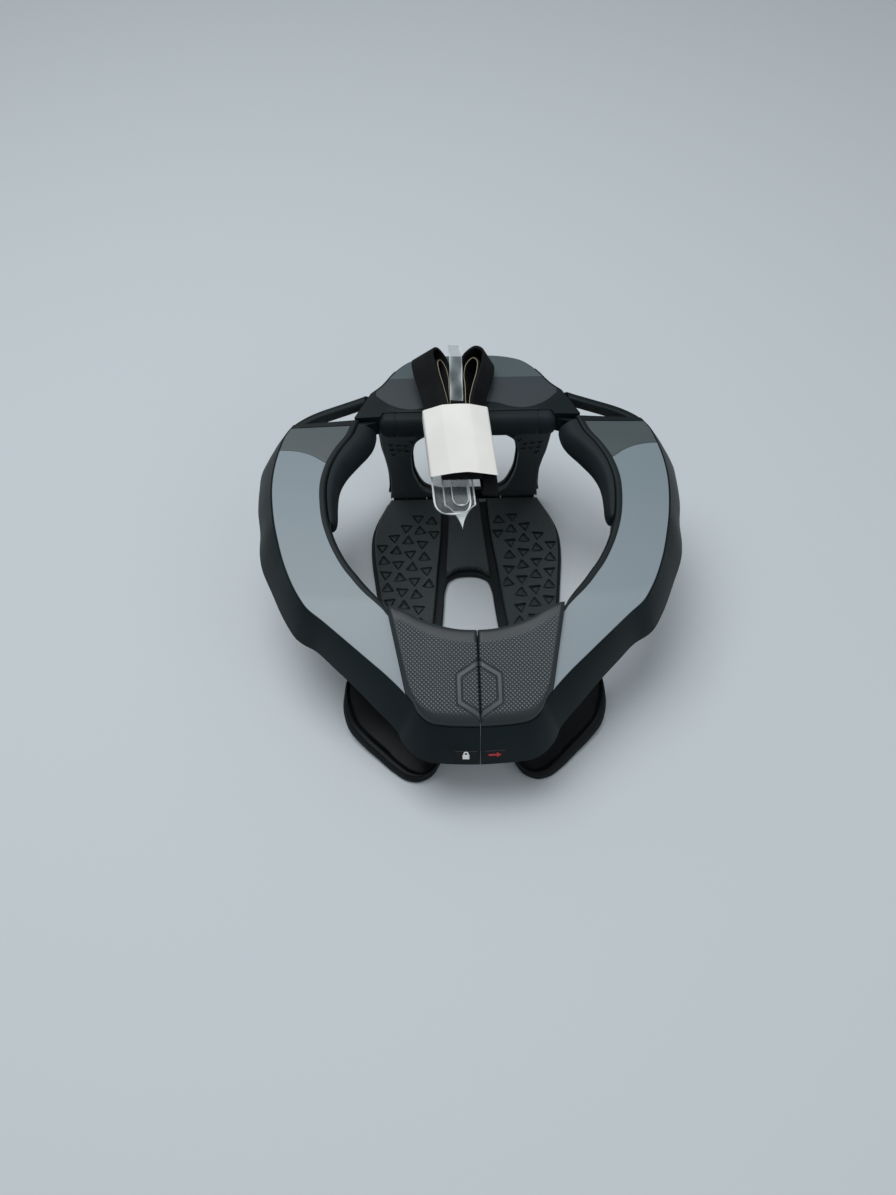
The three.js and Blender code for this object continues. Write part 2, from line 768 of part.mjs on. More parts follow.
// Chest wing: a dished plate with a raised edge, and a post up into the arm's channel
function chestWing() {
  const plate = loft(
    wingRows.map((row) => [
      wingPoint(row, 0, wingWall),
      wingPoint(row, -0.03, -0.6),
      wingPoint(row, 0.06, -1),
      wingPoint(row, 0.14, 0.6),
      wingPoint(row, 0.5, 0.6),
      wingPoint(row, 1, 0),
      wingPoint(row, 1, wingWall),
      wingPoint(row, 0.5, wingWall + 0.6),
    ]),
  );
  const seat = (row, share) => wingPoint(wingRows[row], share, wingWall / 2);
  const foot = seat(4, postPlace);
  const plane = new THREE.Plane().setFromCoplanarPoints(seat(3, postPlace), seat(5, postPlace), seat(4, 0.5));
  const corners = [
    [-postLength / 2, -postWidth / 2],
    [postLength / 2, -postWidth / 2],
    [postLength / 2, postWidth / 2],
    [-postLength / 2, postWidth / 2],
  ];
  const middle = new THREE.Vector2(foot.x, foot.y);
  const turn = Math.PI / 4;
  const outline = corners.map(([a, b]) => {
    return new THREE.Vector2(a, b).add(middle).rotateAround(middle, turn);
  });
  const post = slab(
    outline,
    (x, y) => -(plane.constant + plane.normal.x * x + plane.normal.y * y) / plane.normal.z + seam,
    (x, y) => topHeight(y) - inlayDepth - shellWall - 2 * seam,
  );
  return carve([plate, post]);
}

function chestPad() {
  return loft(
    wingRows.map((row, i) => {
      const end = i === 0 || i === wingRows.length - 1 ? 0.75 : 1;
      const top = wingWall + seam;
      const foot = (share) => {
        const point = wingPoint(row, share, top + wingPadHeight * end);
        point.z = Math.max(point.z, 0);
        return point;
      };
      return [
        wingPoint(row, -0.04, top),
        wingPoint(row, -0.07, top + 1.5),
        foot(0.02),
        foot(0.5),
        foot(0.9),
        wingPoint(row, 0.96, top + 1),
        wingPoint(row, 0.96, top + 0.3),
        wingPoint(row, 0.5, top + 0.6),
      ];
    }),
  );
}

for (const [side, flip] of [['right', (g) => g], ['left', mirrored]]) {
  addPiece(`arm_shell_${side}`, flip(armShell()), blackShell);
  const strip = inlayStrip();
  const light = geometryOf(solidOf(strip).subtract(solidOf(behindBorder(seam))));
  const mid = geometryOf(solidOf(strip).intersect(solidOf(behindBorder(0))));
  addPiece(`side_panel_${side}`, flip(light), lightGrey);
  addPiece(`side_panel_rear_${side}`, flip(mid), midGrey);
  addPiece(`bolster_${side}`, flip(bolster()), blackFoam);
  addPiece(`front_pad_${side}`, flip(frontPad()), wovenPad);
  addPiece(`chest_wing_${side}`, flip(chestWing()), blackShell);
  addPiece(`chest_pad_${side}`, flip(chestPad()), blackFoam);
  addPiece(`label_${side}`, flip(label()), labelPlate);
}

// Rear edge of the table at a distance from the middle
function tableBack(x) {
  const share = Math.min(Math.abs(x) / tableHalfWidth, 1);
  const i = Math.max(tableRows.findIndex(({ across }) => across >= share), 1);
  const a = tableRows[i - 1];
  const b = tableRows[i];
  const back = lerp(a.back, b.back, (share - a.across) / (b.across - a.across));
  return tableFront + back * tableDepth;
}

// Outline points of one half of the table, from the middle outwards
function backEdge(inset) {
  return tableRows.map(({ across, back }) => {
    const x = across * (tableHalfWidth - inset);
    return new THREE.Vector2(x, tableFront + back * tableDepth - inset);
  });
}

function bothSides(half) {
  const other = half.filter(({ x }) => x > 0).map(({ x, y }) => new THREE.Vector2(-x, y));
  return [...half, ...other.reverse()];
}

// Table as a channel across the brace, open below, with a wall at each end
function tableChannel() {
  const inner = tableRows.map(({ across }) => across * tableHalfWidth).filter((x) => x < channelHalfWidth);
  const xs = [...inner, channelHalfWidth];
  const all = [...xs.slice(1).map((x) => -x).reverse(), ...xs];
  const sections = all.map((x) => {
    const back = tableBack(x);
    const at = (y, depth) => new THREE.Vector3(x, y, topHeight(y) - depth);
    return [
      at(tableFront, tableDrop),
      at(tableFront, 1),
      at(tableFront + 1, 0),
      at(back - 1, 0),
      at(back, 0.8),
      at(back + tableLean, tableDrop),
      at(back + tableLean - shellWall, tableDrop),
      at(back - shellWall, shellWall + inlayDepth),
      at(tableFront + shellWall, shellWall + inlayDepth),
      at(tableFront + shellWall, tableDrop),
    ];
  });
  return loft(sections);
}

// Corner plate over the hinge, and the lug under the knuckle
function corner(side) {
  const shoulder = tableRows.at(-2).across * tableHalfWidth;
  const top = [
    new THREE.Vector2(channelHalfWidth - cornerLap, tableFront),
    new THREE.Vector2(barPadHalfWidth, tableFront),
    new THREE.Vector2(barPadHalfWidth + 1.5, coverTip.y + 0.2),
    new THREE.Vector2(coverTip.x - 2, coverTip.y - 0.6),
    coverTip,
    coverBack,
    new THREE.Vector2(shoulder, tableBack(shoulder)),
    new THREE.Vector2(channelHalfWidth - cornerLap, tableBack(channelHalfWidth - cornerLap)),
  ];
  const cover = slab(
    top,
    (x, y) => topHeight(y) - coverWall,
    (x, y) => topHeight(y),
  );
  const endWall = new THREE.BoxGeometry(shellWall, tableBack(channelHalfWidth) - tableFront, tableDrop);
  const middleY = (tableBack(channelHalfWidth) + tableFront) / 2;
  endWall.translate(channelHalfWidth - shellWall / 2, middleY, topHeight(middleY) - tableDrop / 2 - 1);
  const lugTop = knuckleTop + knuckleHeight + jointGap;
  const reach = knuckleRadius * 0.9;
  const lug = slab(
    [
      new THREE.Vector2(channelHalfWidth - shellWall, hingeY - reach),
      new THREE.Vector2(hingeX, hingeY - reach),
      new THREE.Vector2(hingeX + reach * 0.7, hingeY - reach * 0.7),
      new THREE.Vector2(hingeX + reach, hingeY),
      new THREE.Vector2(hingeX + reach * 0.7, hingeY + reach * 0.7),
      new THREE.Vector2(hingeX, hingeY + reach),
      new THREE.Vector2(channelHalfWidth - shellWall, hingeY + reach),
    ],
    (x, y) => hingeHeight(y, lugTop + shellWall),
    (x, y) => hingeHeight(y, lugTop),
  );
  const pieces = [cover, endWall, lug];
  return side > 0 ? pieces : pieces.map(mirrored);
}

// Outline of both inlays on the table, drawn in from the edge
function tableInlay(inset) {
  const front = tableInlayRows.map(({ across, back }) => {
    return new THREE.Vector2(across * (tableHalfWidth - inset), tableFront + back * tableDepth + inset);
  });
  const back = backEdge(outerLip + inset).slice(0, -1);
  return bothSides([...back, ...front.reverse()].filter(({ x }) => x > 0));
}

function inlaySlab(inset, depth, raise) {
  return slab(
    tableInlay(inset),
    (x, y) => topHeight(y) - depth,
    (x, y) => topHeight(y) + raise,
  );
}

function rearShell() {
  const pocket = inlaySlab(0, inlayDepth, 5);
  return carve([tableChannel(), ...corner(1), ...corner(-1)], [pocket]);
}

const splitY = tableFront + tableInlaySplit * tableDepth;

// Everything behind a line across the table
function behindLine(y) {
  const block = new THREE.BoxGeometry(4 * tableHalfWidth, 4 * tableDepth, 4 * frontTopHeight);
  block.translate(0, y + 2 * tableDepth, 2 * frontTopHeight);
  return solidOf(block);
}

addPiece('rear_shell', rearShell(), blackShell);
const tableStrip = solidOf(inlaySlab(seam, inlayDepth - seam, 0));
addPiece('rear_panel_light', geometryOf(tableStrip.intersect(behindLine(splitY + seam))), lightGrey);
addPiece('rear_panel_mid', geometryOf(tableStrip.subtract(behindLine(splitY))), midGrey);

// Padded bar across the back of the neck opening
function rearBarPad() {
  const steps = 8;
  const half = barPadHalfWidth - 1.5;
  const sections = [-1, -0.97, -0.5, 0, 0.5, 0.97, 1].map((share) => {
    const end = Math.abs(share) === 1 ? 0.85 : 1;
    const section = [];
    for (let i = 0; i <= steps; i += 1) {
      const angle = (Math.PI * i) / steps;
      const forward = barPadDepth * end * Math.sin(angle) ** 0.7;
      const drop = 1.2 + (barPadHeight / 2) * (1 - Math.cos(angle) * end);
      const y = tableFront - seam - forward;
      section.push(new THREE.Vector3(share * half, y, topHeight(tableFront) - drop));
    }
    return section;
  });
  return loft(sections);
}
addPiece('rear_bar_pad', rearBarPad(), blackFoam);

for (const [side, flip] of [['right', (g) => g], ['left', mirrored]]) {
  const foot = onHinge(knuckleTop + knuckleHeight + jointGap - seam);
  const pin = rod(foot, onHinge(coverWall + 2 * seam), pinRadius);
  addPiece(`hinge_pin_${side}`, flip(pin), steel);
}

// Point of the lower strut: shares of its half width and of its length
const strutLength = strutAxisY - strutFront;
function strutPoint(x, y) {
  return new THREE.Vector2(x * strutHalfWidth, strutAxisY - y * strutLength);
}

const innerEar = 0.79 * strutHalfWidth - earWidth - 1; // where the two halves of the hinge meet
const barrelInner = 0.41 * strutHalfWidth;

function strutLower() {
  const half = strutRows.map(({ x, y }) => strutPoint(x, y));
  const back = strutAxisY - strutBarrel - jointGap;
  const rear = [
    new THREE.Vector2(0, back + 0.6),
    new THREE.Vector2(barrelInner, back + 0.6),
    new THREE.Vector2(barrelInner, strutAxisY),
    new THREE.Vector2(innerEar - jointGap / 2, strutAxisY),
    new THREE.Vector2(innerEar - jointGap / 2, back),
    new THREE.Vector2(half[0].x - 1, back),
  ];
  const loop = [...rear, ...half].filter(({ x }) => x > 0);
  const other = loop.map(({ x, y }) => new THREE.Vector2(-x, y)).reverse();
  const plate = slab([...loop, ...other], near(0), near(strutPlate));
  const barrels = [1, -1].map((side) => {
    return rod(
      new THREE.Vector3(side * barrelInner, strutAxisY, strutAxisZ),
      new THREE.Vector3(side * (innerEar - jointGap / 2), strutAxisY, strutAxisZ),
      strutBarrel,
      20,
    );
  });
  const holes = [1, -1].map((side) => {
    return rod(
      new THREE.Vector3(side * (barrelInner + 3), strutAxisY, strutAxisZ),
      new THREE.Vector3(side * strutHalfWidth, strutAxisY, strutAxisZ),
      strutPin + seam,
    );
  });
  return carve([plate, ...barrels], holes);
}
addPiece('strut_lower', strutLower(), blackShell);

// A soft facing with rounded edges, over a plan outline
function facing(outline, height) {
  const shape = new THREE.Shape(outline);
  const round = 1.2;
  const geometry = new THREE.ExtrudeGeometry(shape, {
    depth: height - 2 * round,
    bevelThickness: round,
    bevelSize: round,
    bevelOffset: -round,
    bevelSegments: 2,
  });
  geometry.translate(0, 0, strutPlate + seam + round);
  return geometry;
}

const padMargin = 3; // bare edge of the plate outside the pads
function strutSidePad() {
  const rows = strutRows.slice(0, firstSlotRow - 1);
  const edge = rows.map(({ x, y }) => {
    const point = strutPoint(x, y);
    const shrink = y > 0.9 ? 0.955 : 1;
    return new THREE.Vector2(point.x - padMargin, strutAxisY - (strutAxisY - point.y) * shrink);
  });
  edge[0].y = strutAxisY - strutBarrel - jointGap - 0.4;
  const groove = grooveRows.map(({ y, outer }) => strutPoint(outer, y));
  groove[0].y = edge[0].y;
  return facing([...edge, ...groove.reverse()], strutPadHeight);
}
addPiece('strut_pad_right', strutSidePad(), strutFoam);
addPiece('strut_pad_left', mirrored(strutSidePad()), strutFoam);

function strutCentrePad() {
  const groove = grooveRows.slice(0, 3).map(({ y, inner }) => strutPoint(inner, y));
  groove[0].y = strutAxisY - strutBarrel - jointGap - 0.4;
  const arch = strutRows.slice(-3).map(({ x, y }) => {
    const point = strutPoint(x, y);
    return new THREE.Vector2(point.x, point.y + padMargin);
  });
  groove[2].y = arch[0].y - 2;
  return facing(bothSides([...groove, ...arch].filter(({ x }) => x > 0)), strutPadHeight);
}
addPiece('strut_pad_centre', strutCentrePad(), strutFoam);

// Face of the column pads at a height
function columnFace(z) {
  const share = z / columnHeight;
  const found = columnRows.findIndex((row) => row.z >= share - 1e-9);
  const i = found < 0 ? columnRows.length - 1 : Math.max(found, 1);
  const a = columnRows[i - 1];
  const b = columnRows[i];
  return strutAxisY - columnReach * lerp(a.forward, b.forward, (share - a.z) / (b.z - a.z));
}

// One column through rows of the table, drawn in at its edges, at a distance behind the pad's face
function column(rows, edge, behind, wall) {
  return loft(
    rows.map(({ z: share, out, hole }) => {
      const z = share * columnHeight;
      const y = columnFace(z) + behind;
      const from = hole * strutHalfWidth + edge;
      const to = out * strutHalfWidth - edge;
      return [
        new THREE.Vector3(from, y, z),
        new THREE.Vector3(to, y, z),
        new THREE.Vector3(to, y + wall, z),
        new THREE.Vector3(from, y + wall, z),
      ];
    }),
  );
}

// Two columns with the egg-shaped hole between them, ears at the foot and tongues at the top
function strutUpper() {
  const behind = columnPad + seam;
  const tongueTop = (y) => topHeight(y) - inlayDepth - shellWall - seam;
  const right = column(columnRows, 0, behind, columnWall);
  const sides = [right, mirrored(right)];
  const bridge = new THREE.BoxGeometry(0.3 * strutHalfWidth, columnWall - 0.2, 0.085 * columnHeight);
  const bridgeZ = 0.95 * columnHeight;
  bridge.translate(0, columnFace(bridgeZ) + behind + columnWall / 2, bridgeZ);
  const ears = [];
  const tongues = [];
  const footZ = columnRows[0].z * columnHeight;
  for (const side of [1, -1]) {
    const inner = side * (innerEar + jointGap / 2);
    const outer = side * (innerEar + jointGap / 2 + earWidth - 1);
    ears.push(
      rod(
        new THREE.Vector3(inner, strutAxisY, strutAxisZ),
        new THREE.Vector3(outer, strutAxisY, strutAxisZ),
        strutBarrel,
        20,
      ),
    );
    const neck = new THREE.BoxGeometry(earWidth - 1, columnWall - 0.5, footZ + 0.5 - strutAxisZ);
    const neckY = columnFace(footZ) + behind + columnWall / 2 + 0.25;
    neck.translate((inner + outer) / 2, neckY, (footZ + 0.5 + strutAxisZ) / 2);
    ears.push(neck);
    const from = columnHeight - 2.5;
    const tongueY = columnFace(columnHeight) + behind + columnWall / 2 + 0.5;
    const height = tongueTop(tongueY - 4) - from;
    const width = channelHalfWidth - shellWall - 2 - 0.5 * strutHalfWidth;
    const tongue = new THREE.BoxGeometry(width, columnWall, height);
    tongue.translate(side * (0.5 * strutHalfWidth + width / 2), tongueY, from + height / 2);
    tongues.push(tongue);
  }
  const holes = [1, -1].map((side) => {
    return rod(
      new THREE.Vector3(0, strutAxisY, strutAxisZ),
      new THREE.Vector3(side * (innerEar + earWidth - 3), strutAxisY, strutAxisZ),
      strutPin + seam,
    );
  });
  return carve([...sides, bridge, ...ears, ...tongues], holes);
}
addPiece('strut_upper', strutUpper(), blackShell);

function columnPadRight() {
  const rows = columnRows.slice(0, -1).map((row) => ({ ...row }));
  rows[0].z += 0.006;
  rows.push({ ...columnRows.at(-1), z: 0.985, hole: 0.3 });
  return column(rows, columnMargin, 0, columnPad);
}
addPiece('strut_upper_pad_right', columnPadRight(), strutFoam);
addPiece('strut_upper_pad_left', mirrored(columnPadRight()), strutFoam);

for (const [side, sign] of [['right', 1], ['left', -1]]) {
  const pin = rod(
    new THREE.Vector3(sign * (barrelInner + 3 + seam), strutAxisY, strutAxisZ),
    new THREE.Vector3(sign * (innerEar + earWidth - 3 - seam), strutAxisY, strutAxisZ),
    strutPin,
  );
  addPiece(`strut_pin_${side}`, pin, steel);
}

// Frame of the strap bundle: along it towards the back, across it and up from it
const bundleBack = new THREE.Vector3(0, Math.cos(radians(bundleSlope)), Math.sin(radians(bundleSlope)));
const bundleUp = new THREE.Vector3(0, -bundleBack.z, bundleBack.y);
const bundleHeart = topHeight(tableFront) + sleeveHeight / 2 + 0.8;
function bundlePoint(across, along, up) {
  const point = new THREE.Vector3(bundleX + across, bundleY, bundleHeart);
  return point.addScaledVector(bundleBack, along).addScaledVector(bundleUp, up);
}

// Rounded rectangle round the bundle, drawn in by a distance
function bandLoop(inset, steps = 3) {
  const radius = sleeveRound - inset;
  const halfX = sleeveWidth / 2 - inset - radius;
  const halfZ = sleeveHeight / 2 - inset - radius;
  const loop = [];
  for (const [index, [sx, sz]] of [[1, 1], [-1, 1], [-1, -1], [1, -1]].entries()) {
    for (let i = 0; i <= steps; i += 1) {
      const angle = (index + i / steps) * (Math.PI / 2);
      loop.push([sx * halfX + radius * Math.cos(angle), sz * halfZ + radius * Math.sin(angle)]);
    }
  }
  return loop;
}

function paperSleeve() {
  const body = (inset, from, to) => {
    return loft([from, to].map((along) => bandLoop(inset).map(([x, z]) => bundlePoint(x, along, z))));
  };
  const past = 5;
  return carve([body(0, -sleeveLength, 0)], [body(paperWall, -sleeveLength - past, past)]);
}
addPiece('paper_sleeve', paperSleeve(), paper);

// A flat strap along a route of points [along, side], with its width turned about the bundle's
// axis and its middle led by a function of the distance along
function ribbon(route, width, wall, roll, middle) {
  const turn = radians(roll);
  const sections = route.map((point, i) => {
    const before = route[Math.max(i - 1, 0)];
    const after = route[Math.min(i + 1, route.length - 1)];
    const run = after.clone().sub(before).normalize();
    const side = new THREE.Vector2(-run.y, run.x).multiplyScalar(wall / 2);
    const { across, up } = middle(point.x);
    const corner = (sign, half) => {
      const flat = point.clone().addScaledVector(side, sign);
      const reach = (half * width) / 2;
      const x = across + reach * Math.cos(turn) + flat.y * Math.sin(turn);
      const z = up - reach * Math.sin(turn) + flat.y * Math.cos(turn);
      return bundlePoint(x, flat.x, z);
    };
    return [corner(-1, -1), corner(-1, 1), corner(1, 1), corner(1, -1)];
  });
  return loft(sections);
}

const loopRoute = new THREE.SplineCurve(
  loopRows.map(({ along, up }) => new THREE.Vector2(along * loopLength, up * loopHeight)),
).getPoints(24);
for (const { name, roll, across, farAcross, farUp } of loopPlaces) {
  const middle = (along) => {
    const share = Math.max(along, 0) / loopLength;
    return { across: lerp(across, farAcross, share) * webbingWidth, up: farUp * webbingWidth * share };
  };
  addPiece(name, ribbon(loopRoute, webbingWidth, webbingWall, roll, middle), webbing);
}

// Black strap end that comes out below the paper band, on its right
const endRoute = endRows.map(({ along, up }) => new THREE.Vector2(along * sleeveLength, up * sleeveHeight));
const endPlace = { across: sleeveWidth * 0.36, up: -sleeveHeight * 0.2 };
addPiece('strap_end', ribbon(endRoute, webbingWidth / 2, webbingWall, 0, () => endPlace), webbing);

// Clear strap that loops up between the webbing behind the band
const clearRoute = clearRows.map(({ along, up }) => new THREE.Vector2(along * loopLength, up * loopHeight));
const clearPlace = { across: -0.02 * sleeveWidth, up: sleeveHeight * 0.3 };
addPiece('clear_loop', ribbon(clearRoute, 0.35 * webbingWidth, clearWall, 0, () => clearPlace), clearPlastic);

// A flat tongue of clear strap, which lies on the band's floor above those below it and bends down
// in front of the band; its tip is an ellipse with power 2 and a point with power 1
function tongue({ across, width, reach, layer, droop, tipLength, power }) {
  const lip = sleeveLength + 1;
  const floor = paperWall - sleeveHeight / 2 + seam + layer * (clearWall + seam);
  const stations = [sleeveLength * 0.86, lip].map((along) => ({ along, half: width / 2 }));
  for (const share of [0, 0.35, 0.65, 0.85, 0.96]) {
    const along = lip + reach - tipLength * (1 - share);
    stations.push({ along, half: (width / 2) * (1 - share ** power) ** (1 / power) });
  }
  return loft(
    stations.map(({ along, half }) => {
      const low = floor - droop * (Math.max(along - lip, 0) / reach) ** 2;
      const corner = (side, up) => bundlePoint(across + side * half, -along, low + up);
      return [corner(-1, 0), corner(1, 0), corner(1, clearWall), corner(-1, clearWall)];
    }),
  );
}
const clearTongues = {
  clear_nib: { across: 0, width: 24, reach: 42, layer: 0, droop: 9, tipLength: 26, power: 1.2 },
  clear_tab: { across: -4, width: 30, reach: 26, layer: 1, droop: 3, tipLength: 15, power: 2 },
  clear_tab_inner: { across: 2, width: 15, reach: 20, layer: 2, droop: 1.5, tipLength: 7.5, power: 2 },
};
for (const [name, sizes] of Object.entries(clearTongues)) {
  addPiece(name, tongue(sizes), clearPlastic);
}

// The origin is the middle of the footprint, on the floor
brace.updateMatrixWorld(true);
const bounds = new THREE.Box3().setFromObject(brace);
brace.position.set(0, -(bounds.min.y + bounds.max.y) / 2, -bounds.min.z);

export default brace;
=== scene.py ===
# Motocross neck brace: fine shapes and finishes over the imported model.
# Sizes are in millimetres, +Z up, the front towards -Y; place() turns them to metres in the frame.
import json
import math
import bpy
import bmesh
import numpy as np
from functools import partial
from itertools import product
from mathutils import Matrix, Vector
from mathutils.geometry import delaunay_2d_cdt


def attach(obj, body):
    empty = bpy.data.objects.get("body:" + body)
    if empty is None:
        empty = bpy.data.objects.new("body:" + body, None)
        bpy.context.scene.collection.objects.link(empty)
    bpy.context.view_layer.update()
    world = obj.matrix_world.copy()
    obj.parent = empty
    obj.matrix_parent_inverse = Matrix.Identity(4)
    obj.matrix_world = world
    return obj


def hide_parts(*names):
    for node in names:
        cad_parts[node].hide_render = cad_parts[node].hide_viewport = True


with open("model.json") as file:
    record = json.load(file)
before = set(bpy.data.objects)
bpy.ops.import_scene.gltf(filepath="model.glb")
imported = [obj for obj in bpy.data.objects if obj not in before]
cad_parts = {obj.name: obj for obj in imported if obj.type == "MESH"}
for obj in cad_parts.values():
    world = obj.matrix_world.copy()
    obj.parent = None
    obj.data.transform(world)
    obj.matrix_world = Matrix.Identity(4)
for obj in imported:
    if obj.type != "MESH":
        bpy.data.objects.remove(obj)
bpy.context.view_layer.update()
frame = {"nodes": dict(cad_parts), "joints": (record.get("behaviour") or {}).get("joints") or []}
scene = bpy.context.scene
print("frame loaded:", len(frame["nodes"]), "nodes")

fold = next(joint for joint in frame["joints"] if joint["name"] == "strut_fold")
perMetre = 1000
strutAxisY = 112.0  # as drawn here; place() shifts it to where the frame has it
strutAxisZ = fold["pos_m"][2] * perMetre
shiftY = fold["pos_m"][1] * perMetre - strutAxisY
seam = 0.3  # clear space between a shell and the piece that lies on it
sides = ((1, "right"), (-1, "left"))


def place(x, y, z):
    return Vector((x, y + shiftY, z)) / perMetre


def mix(a, b, share):
    return a + (b - a) * share


def clamp(value, low=0.0, high=1.0):
    return max(low, min(high, value))


def curveThrough(rows):
    # smooth curve through the points of a short table; a place on it is given as a row number
    points = np.array(rows, dtype=float)
    steps = points[1:] - points[:-1]
    gaps = np.linalg.norm(steps, axis=1) + 1e-9
    runs = steps / gaps[:, None]
    tangents = [runs[0]]
    for i in range(1, len(points) - 1):
        tangents.append((runs[i - 1] * gaps[i] + runs[i] * gaps[i - 1]) / (gaps[i - 1] + gaps[i]))
    tangents.append(runs[-1])

    def at(row):
        i = int(clamp(math.floor(row), 0, len(points) - 2))
        f = row - i
        a = (1 + 2 * f) * (1 - f) ** 2
        b = f * (1 - f) ** 2
        c = f * f * (3 - 2 * f)
        d = f * f * (f - 1)
        return a * points[i] + b * gaps[i] * tangents[i] + c * points[i + 1] + d * gaps[i] * tangents[i + 1]

    return at


def scaledCurve(rows, *sizes):
    # the same through rows of shares, with a size for each column
    return curveThrough([[value * size for value, size in zip(row, sizes)] for row in rows])


def steps(low, high, count):
    return [mix(low, high, i / count) for i in range(count + 1)]


def sampled(curve, last, count):
    return [tuple(curve(row)) for row in steps(0, last, count)]


def lastWhere(low, high, holds):
    # the place up to which a condition holds, by halving
    for _ in range(30):
        middle = (low + high) / 2
        low, high = (middle, high) if holds(middle) else (low, middle)
    return low


def dome(share):
    # quarter circle, from 0 at 0 to 1 at 1
    return math.sqrt(1 - (1 - share) ** 2)


# finishes

def tone(red, green, blue):
    # a colour as seen on a screen, 0 to 255, in the renderer's linear values
    shares = [value / 255 for value in (red, green, blue)]
    return tuple(((c + 0.055) / 1.055) ** 2.4 if c > 10 / 255 else c / 12.92 for c in shares)


class Term:
    # a socket that can be used in sums
    def __init__(self, finish, socket):
        self.finish = finish
        self.socket = socket

    def maths(self, operation, *values):
        return self.finish.add("ShaderNodeMath", {"operation": operation}, dict(enumerate(values)))

    def __add__(self, other):
        return self.maths("ADD", self, other)

    def __radd__(self, other):
        return self.maths("ADD", other, self)

    def __sub__(self, other):
        return self.maths("SUBTRACT", self, other)

    def __rsub__(self, other):
        return self.maths("SUBTRACT", other, self)

    def __mul__(self, other):
        return self.maths("MULTIPLY", self, other)

    def __rmul__(self, other):
        return self.maths("MULTIPLY", other, self)

    def sine(self):
        return self.maths("SINE", self)

    def size(self):
        return self.maths("ABSOLUTE", self)

    def least(self, other):
        return self.maths("MINIMUM", self, other)

    def most(self, other):
        return self.maths("MAXIMUM", self, other)

    def ramp(self, low, high):
        # smooth step from 0 at low to 1 at high
        settings = {"interpolation_type": "SMOOTHSTEP"}
        return self.finish.add("ShaderNodeMapRange", settings, {0: self, 1: low, 2: high, 3: 0.0, 4: 1.0})


class Finish:
    def __init__(self, name, colour, roughness, **sockets):
        self.material = bpy.data.materials.new(name)
        self.material.use_nodes = True
        self.tree = self.material.node_tree
        self.shader = self.tree.nodes["Principled BSDF"]
        self.paint(colour)
        self.gloss(roughness)
        for socket, value in sockets.items():
            self.shader.inputs[socket.replace("_", " ")].default_value = value

    def add(self, kind, settings=None, values=None, out=0):
        node = self.tree.nodes.new(kind)
        for key, value in (settings or {}).items():
            setattr(node, key, value)
        for key, value in (values or {}).items():
            self.feed(node.inputs[key], value)
        return Term(self, node.outputs[out])

    def feed(self, socket, value):
        if isinstance(value, Term):
            self.tree.links.new(value.socket, socket)
        else:
            socket.default_value = (*value, 1) if isinstance(value, tuple) else value  # a tuple is a colour

    def lay(self):
        # running place on the piece in millimetres: along, across, height
        where = self.add("ShaderNodeAttribute", {"attribute_name": "lay"}, out=1)
        split = self.add("ShaderNodeSeparateXYZ", values={0: where}).socket.node
        return [Term(self, output) for output in split.outputs]

    def mark(self, name):
        return self.add("ShaderNodeAttribute", {"attribute_name": name}, out=2)

    def noise(self, scale, detail=2.0, roughness=0.5):
        where = self.add("ShaderNodeTexCoord", out=3)
        values = {"Vector": where, "Scale": scale, "Detail": detail, "Roughness": roughness}
        return self.add("ShaderNodeTexNoise", values=values)

    def colours(self, factor, first, second):
        return self.add("ShaderNodeMix", {"data_type": "RGBA"}, {0: factor, 6: first, 7: second}, out=2)

    def paint(self, colour):
        self.feed(self.shader.inputs["Base Color"], colour)

    def gloss(self, roughness):
        self.feed(self.shader.inputs["Roughness"], roughness)

    def relief(self, height):
        # height in millimetres
        values = {"Strength": 1.0, "Distance": 1 / perMetre, "Height": height}
        self.feed(self.shader.inputs["Normal"], self.add("ShaderNodeBump", values=values))


def mouldedPlastic(name, colour, roughness, speckle=0.12, grain=0.03, shine=0.2):
    finish = Finish(name, colour, roughness, Specular_IOR_Level=shine)
    cloud = finish.noise(18.0, 3.0)
    fine = finish.noise(2600.0, 2.0)
    lighter = tuple(min(c * (1 + speckle) + 0.002, 1) for c in colour)
    darker = tuple(c * (1 - speckle) for c in colour)
    finish.paint(finish.colours(cloud.ramp(0.35, 0.65), darker, lighter))
    finish.gloss(roughness + (cloud - 0.5) * 0.12 + (fine - 0.5) * 0.08)
    finish.relief(fine * grain)
    return finish


def paintedPanel(name, deep, pale):
    # satin paint, darker behind a curved line across the panel: partly a faint tone line, partly painted
    # shade that grows towards the rear
    finish = Finish(name, pale, 0.42, Specular_IOR_Level=0.4)
    cloud = finish.noise(14.0, 3.0)
    fine = finish.noise(2400.0, 2.0)
    # the shade mark: a faint tone line plus painted shade towards the rear
    behind = finish.mark("shade")
    base = finish.colours(behind, pale, deep)
    finish.paint(finish.colours(cloud.ramp(0.3, 0.75) * 0.08, base, tone(94, 106, 112)))
    finish.gloss(0.42 + (cloud - 0.5) * 0.1 + behind * 0.04)
    finish.relief(fine * 0.012 + cloud * 0.02)
    return finish


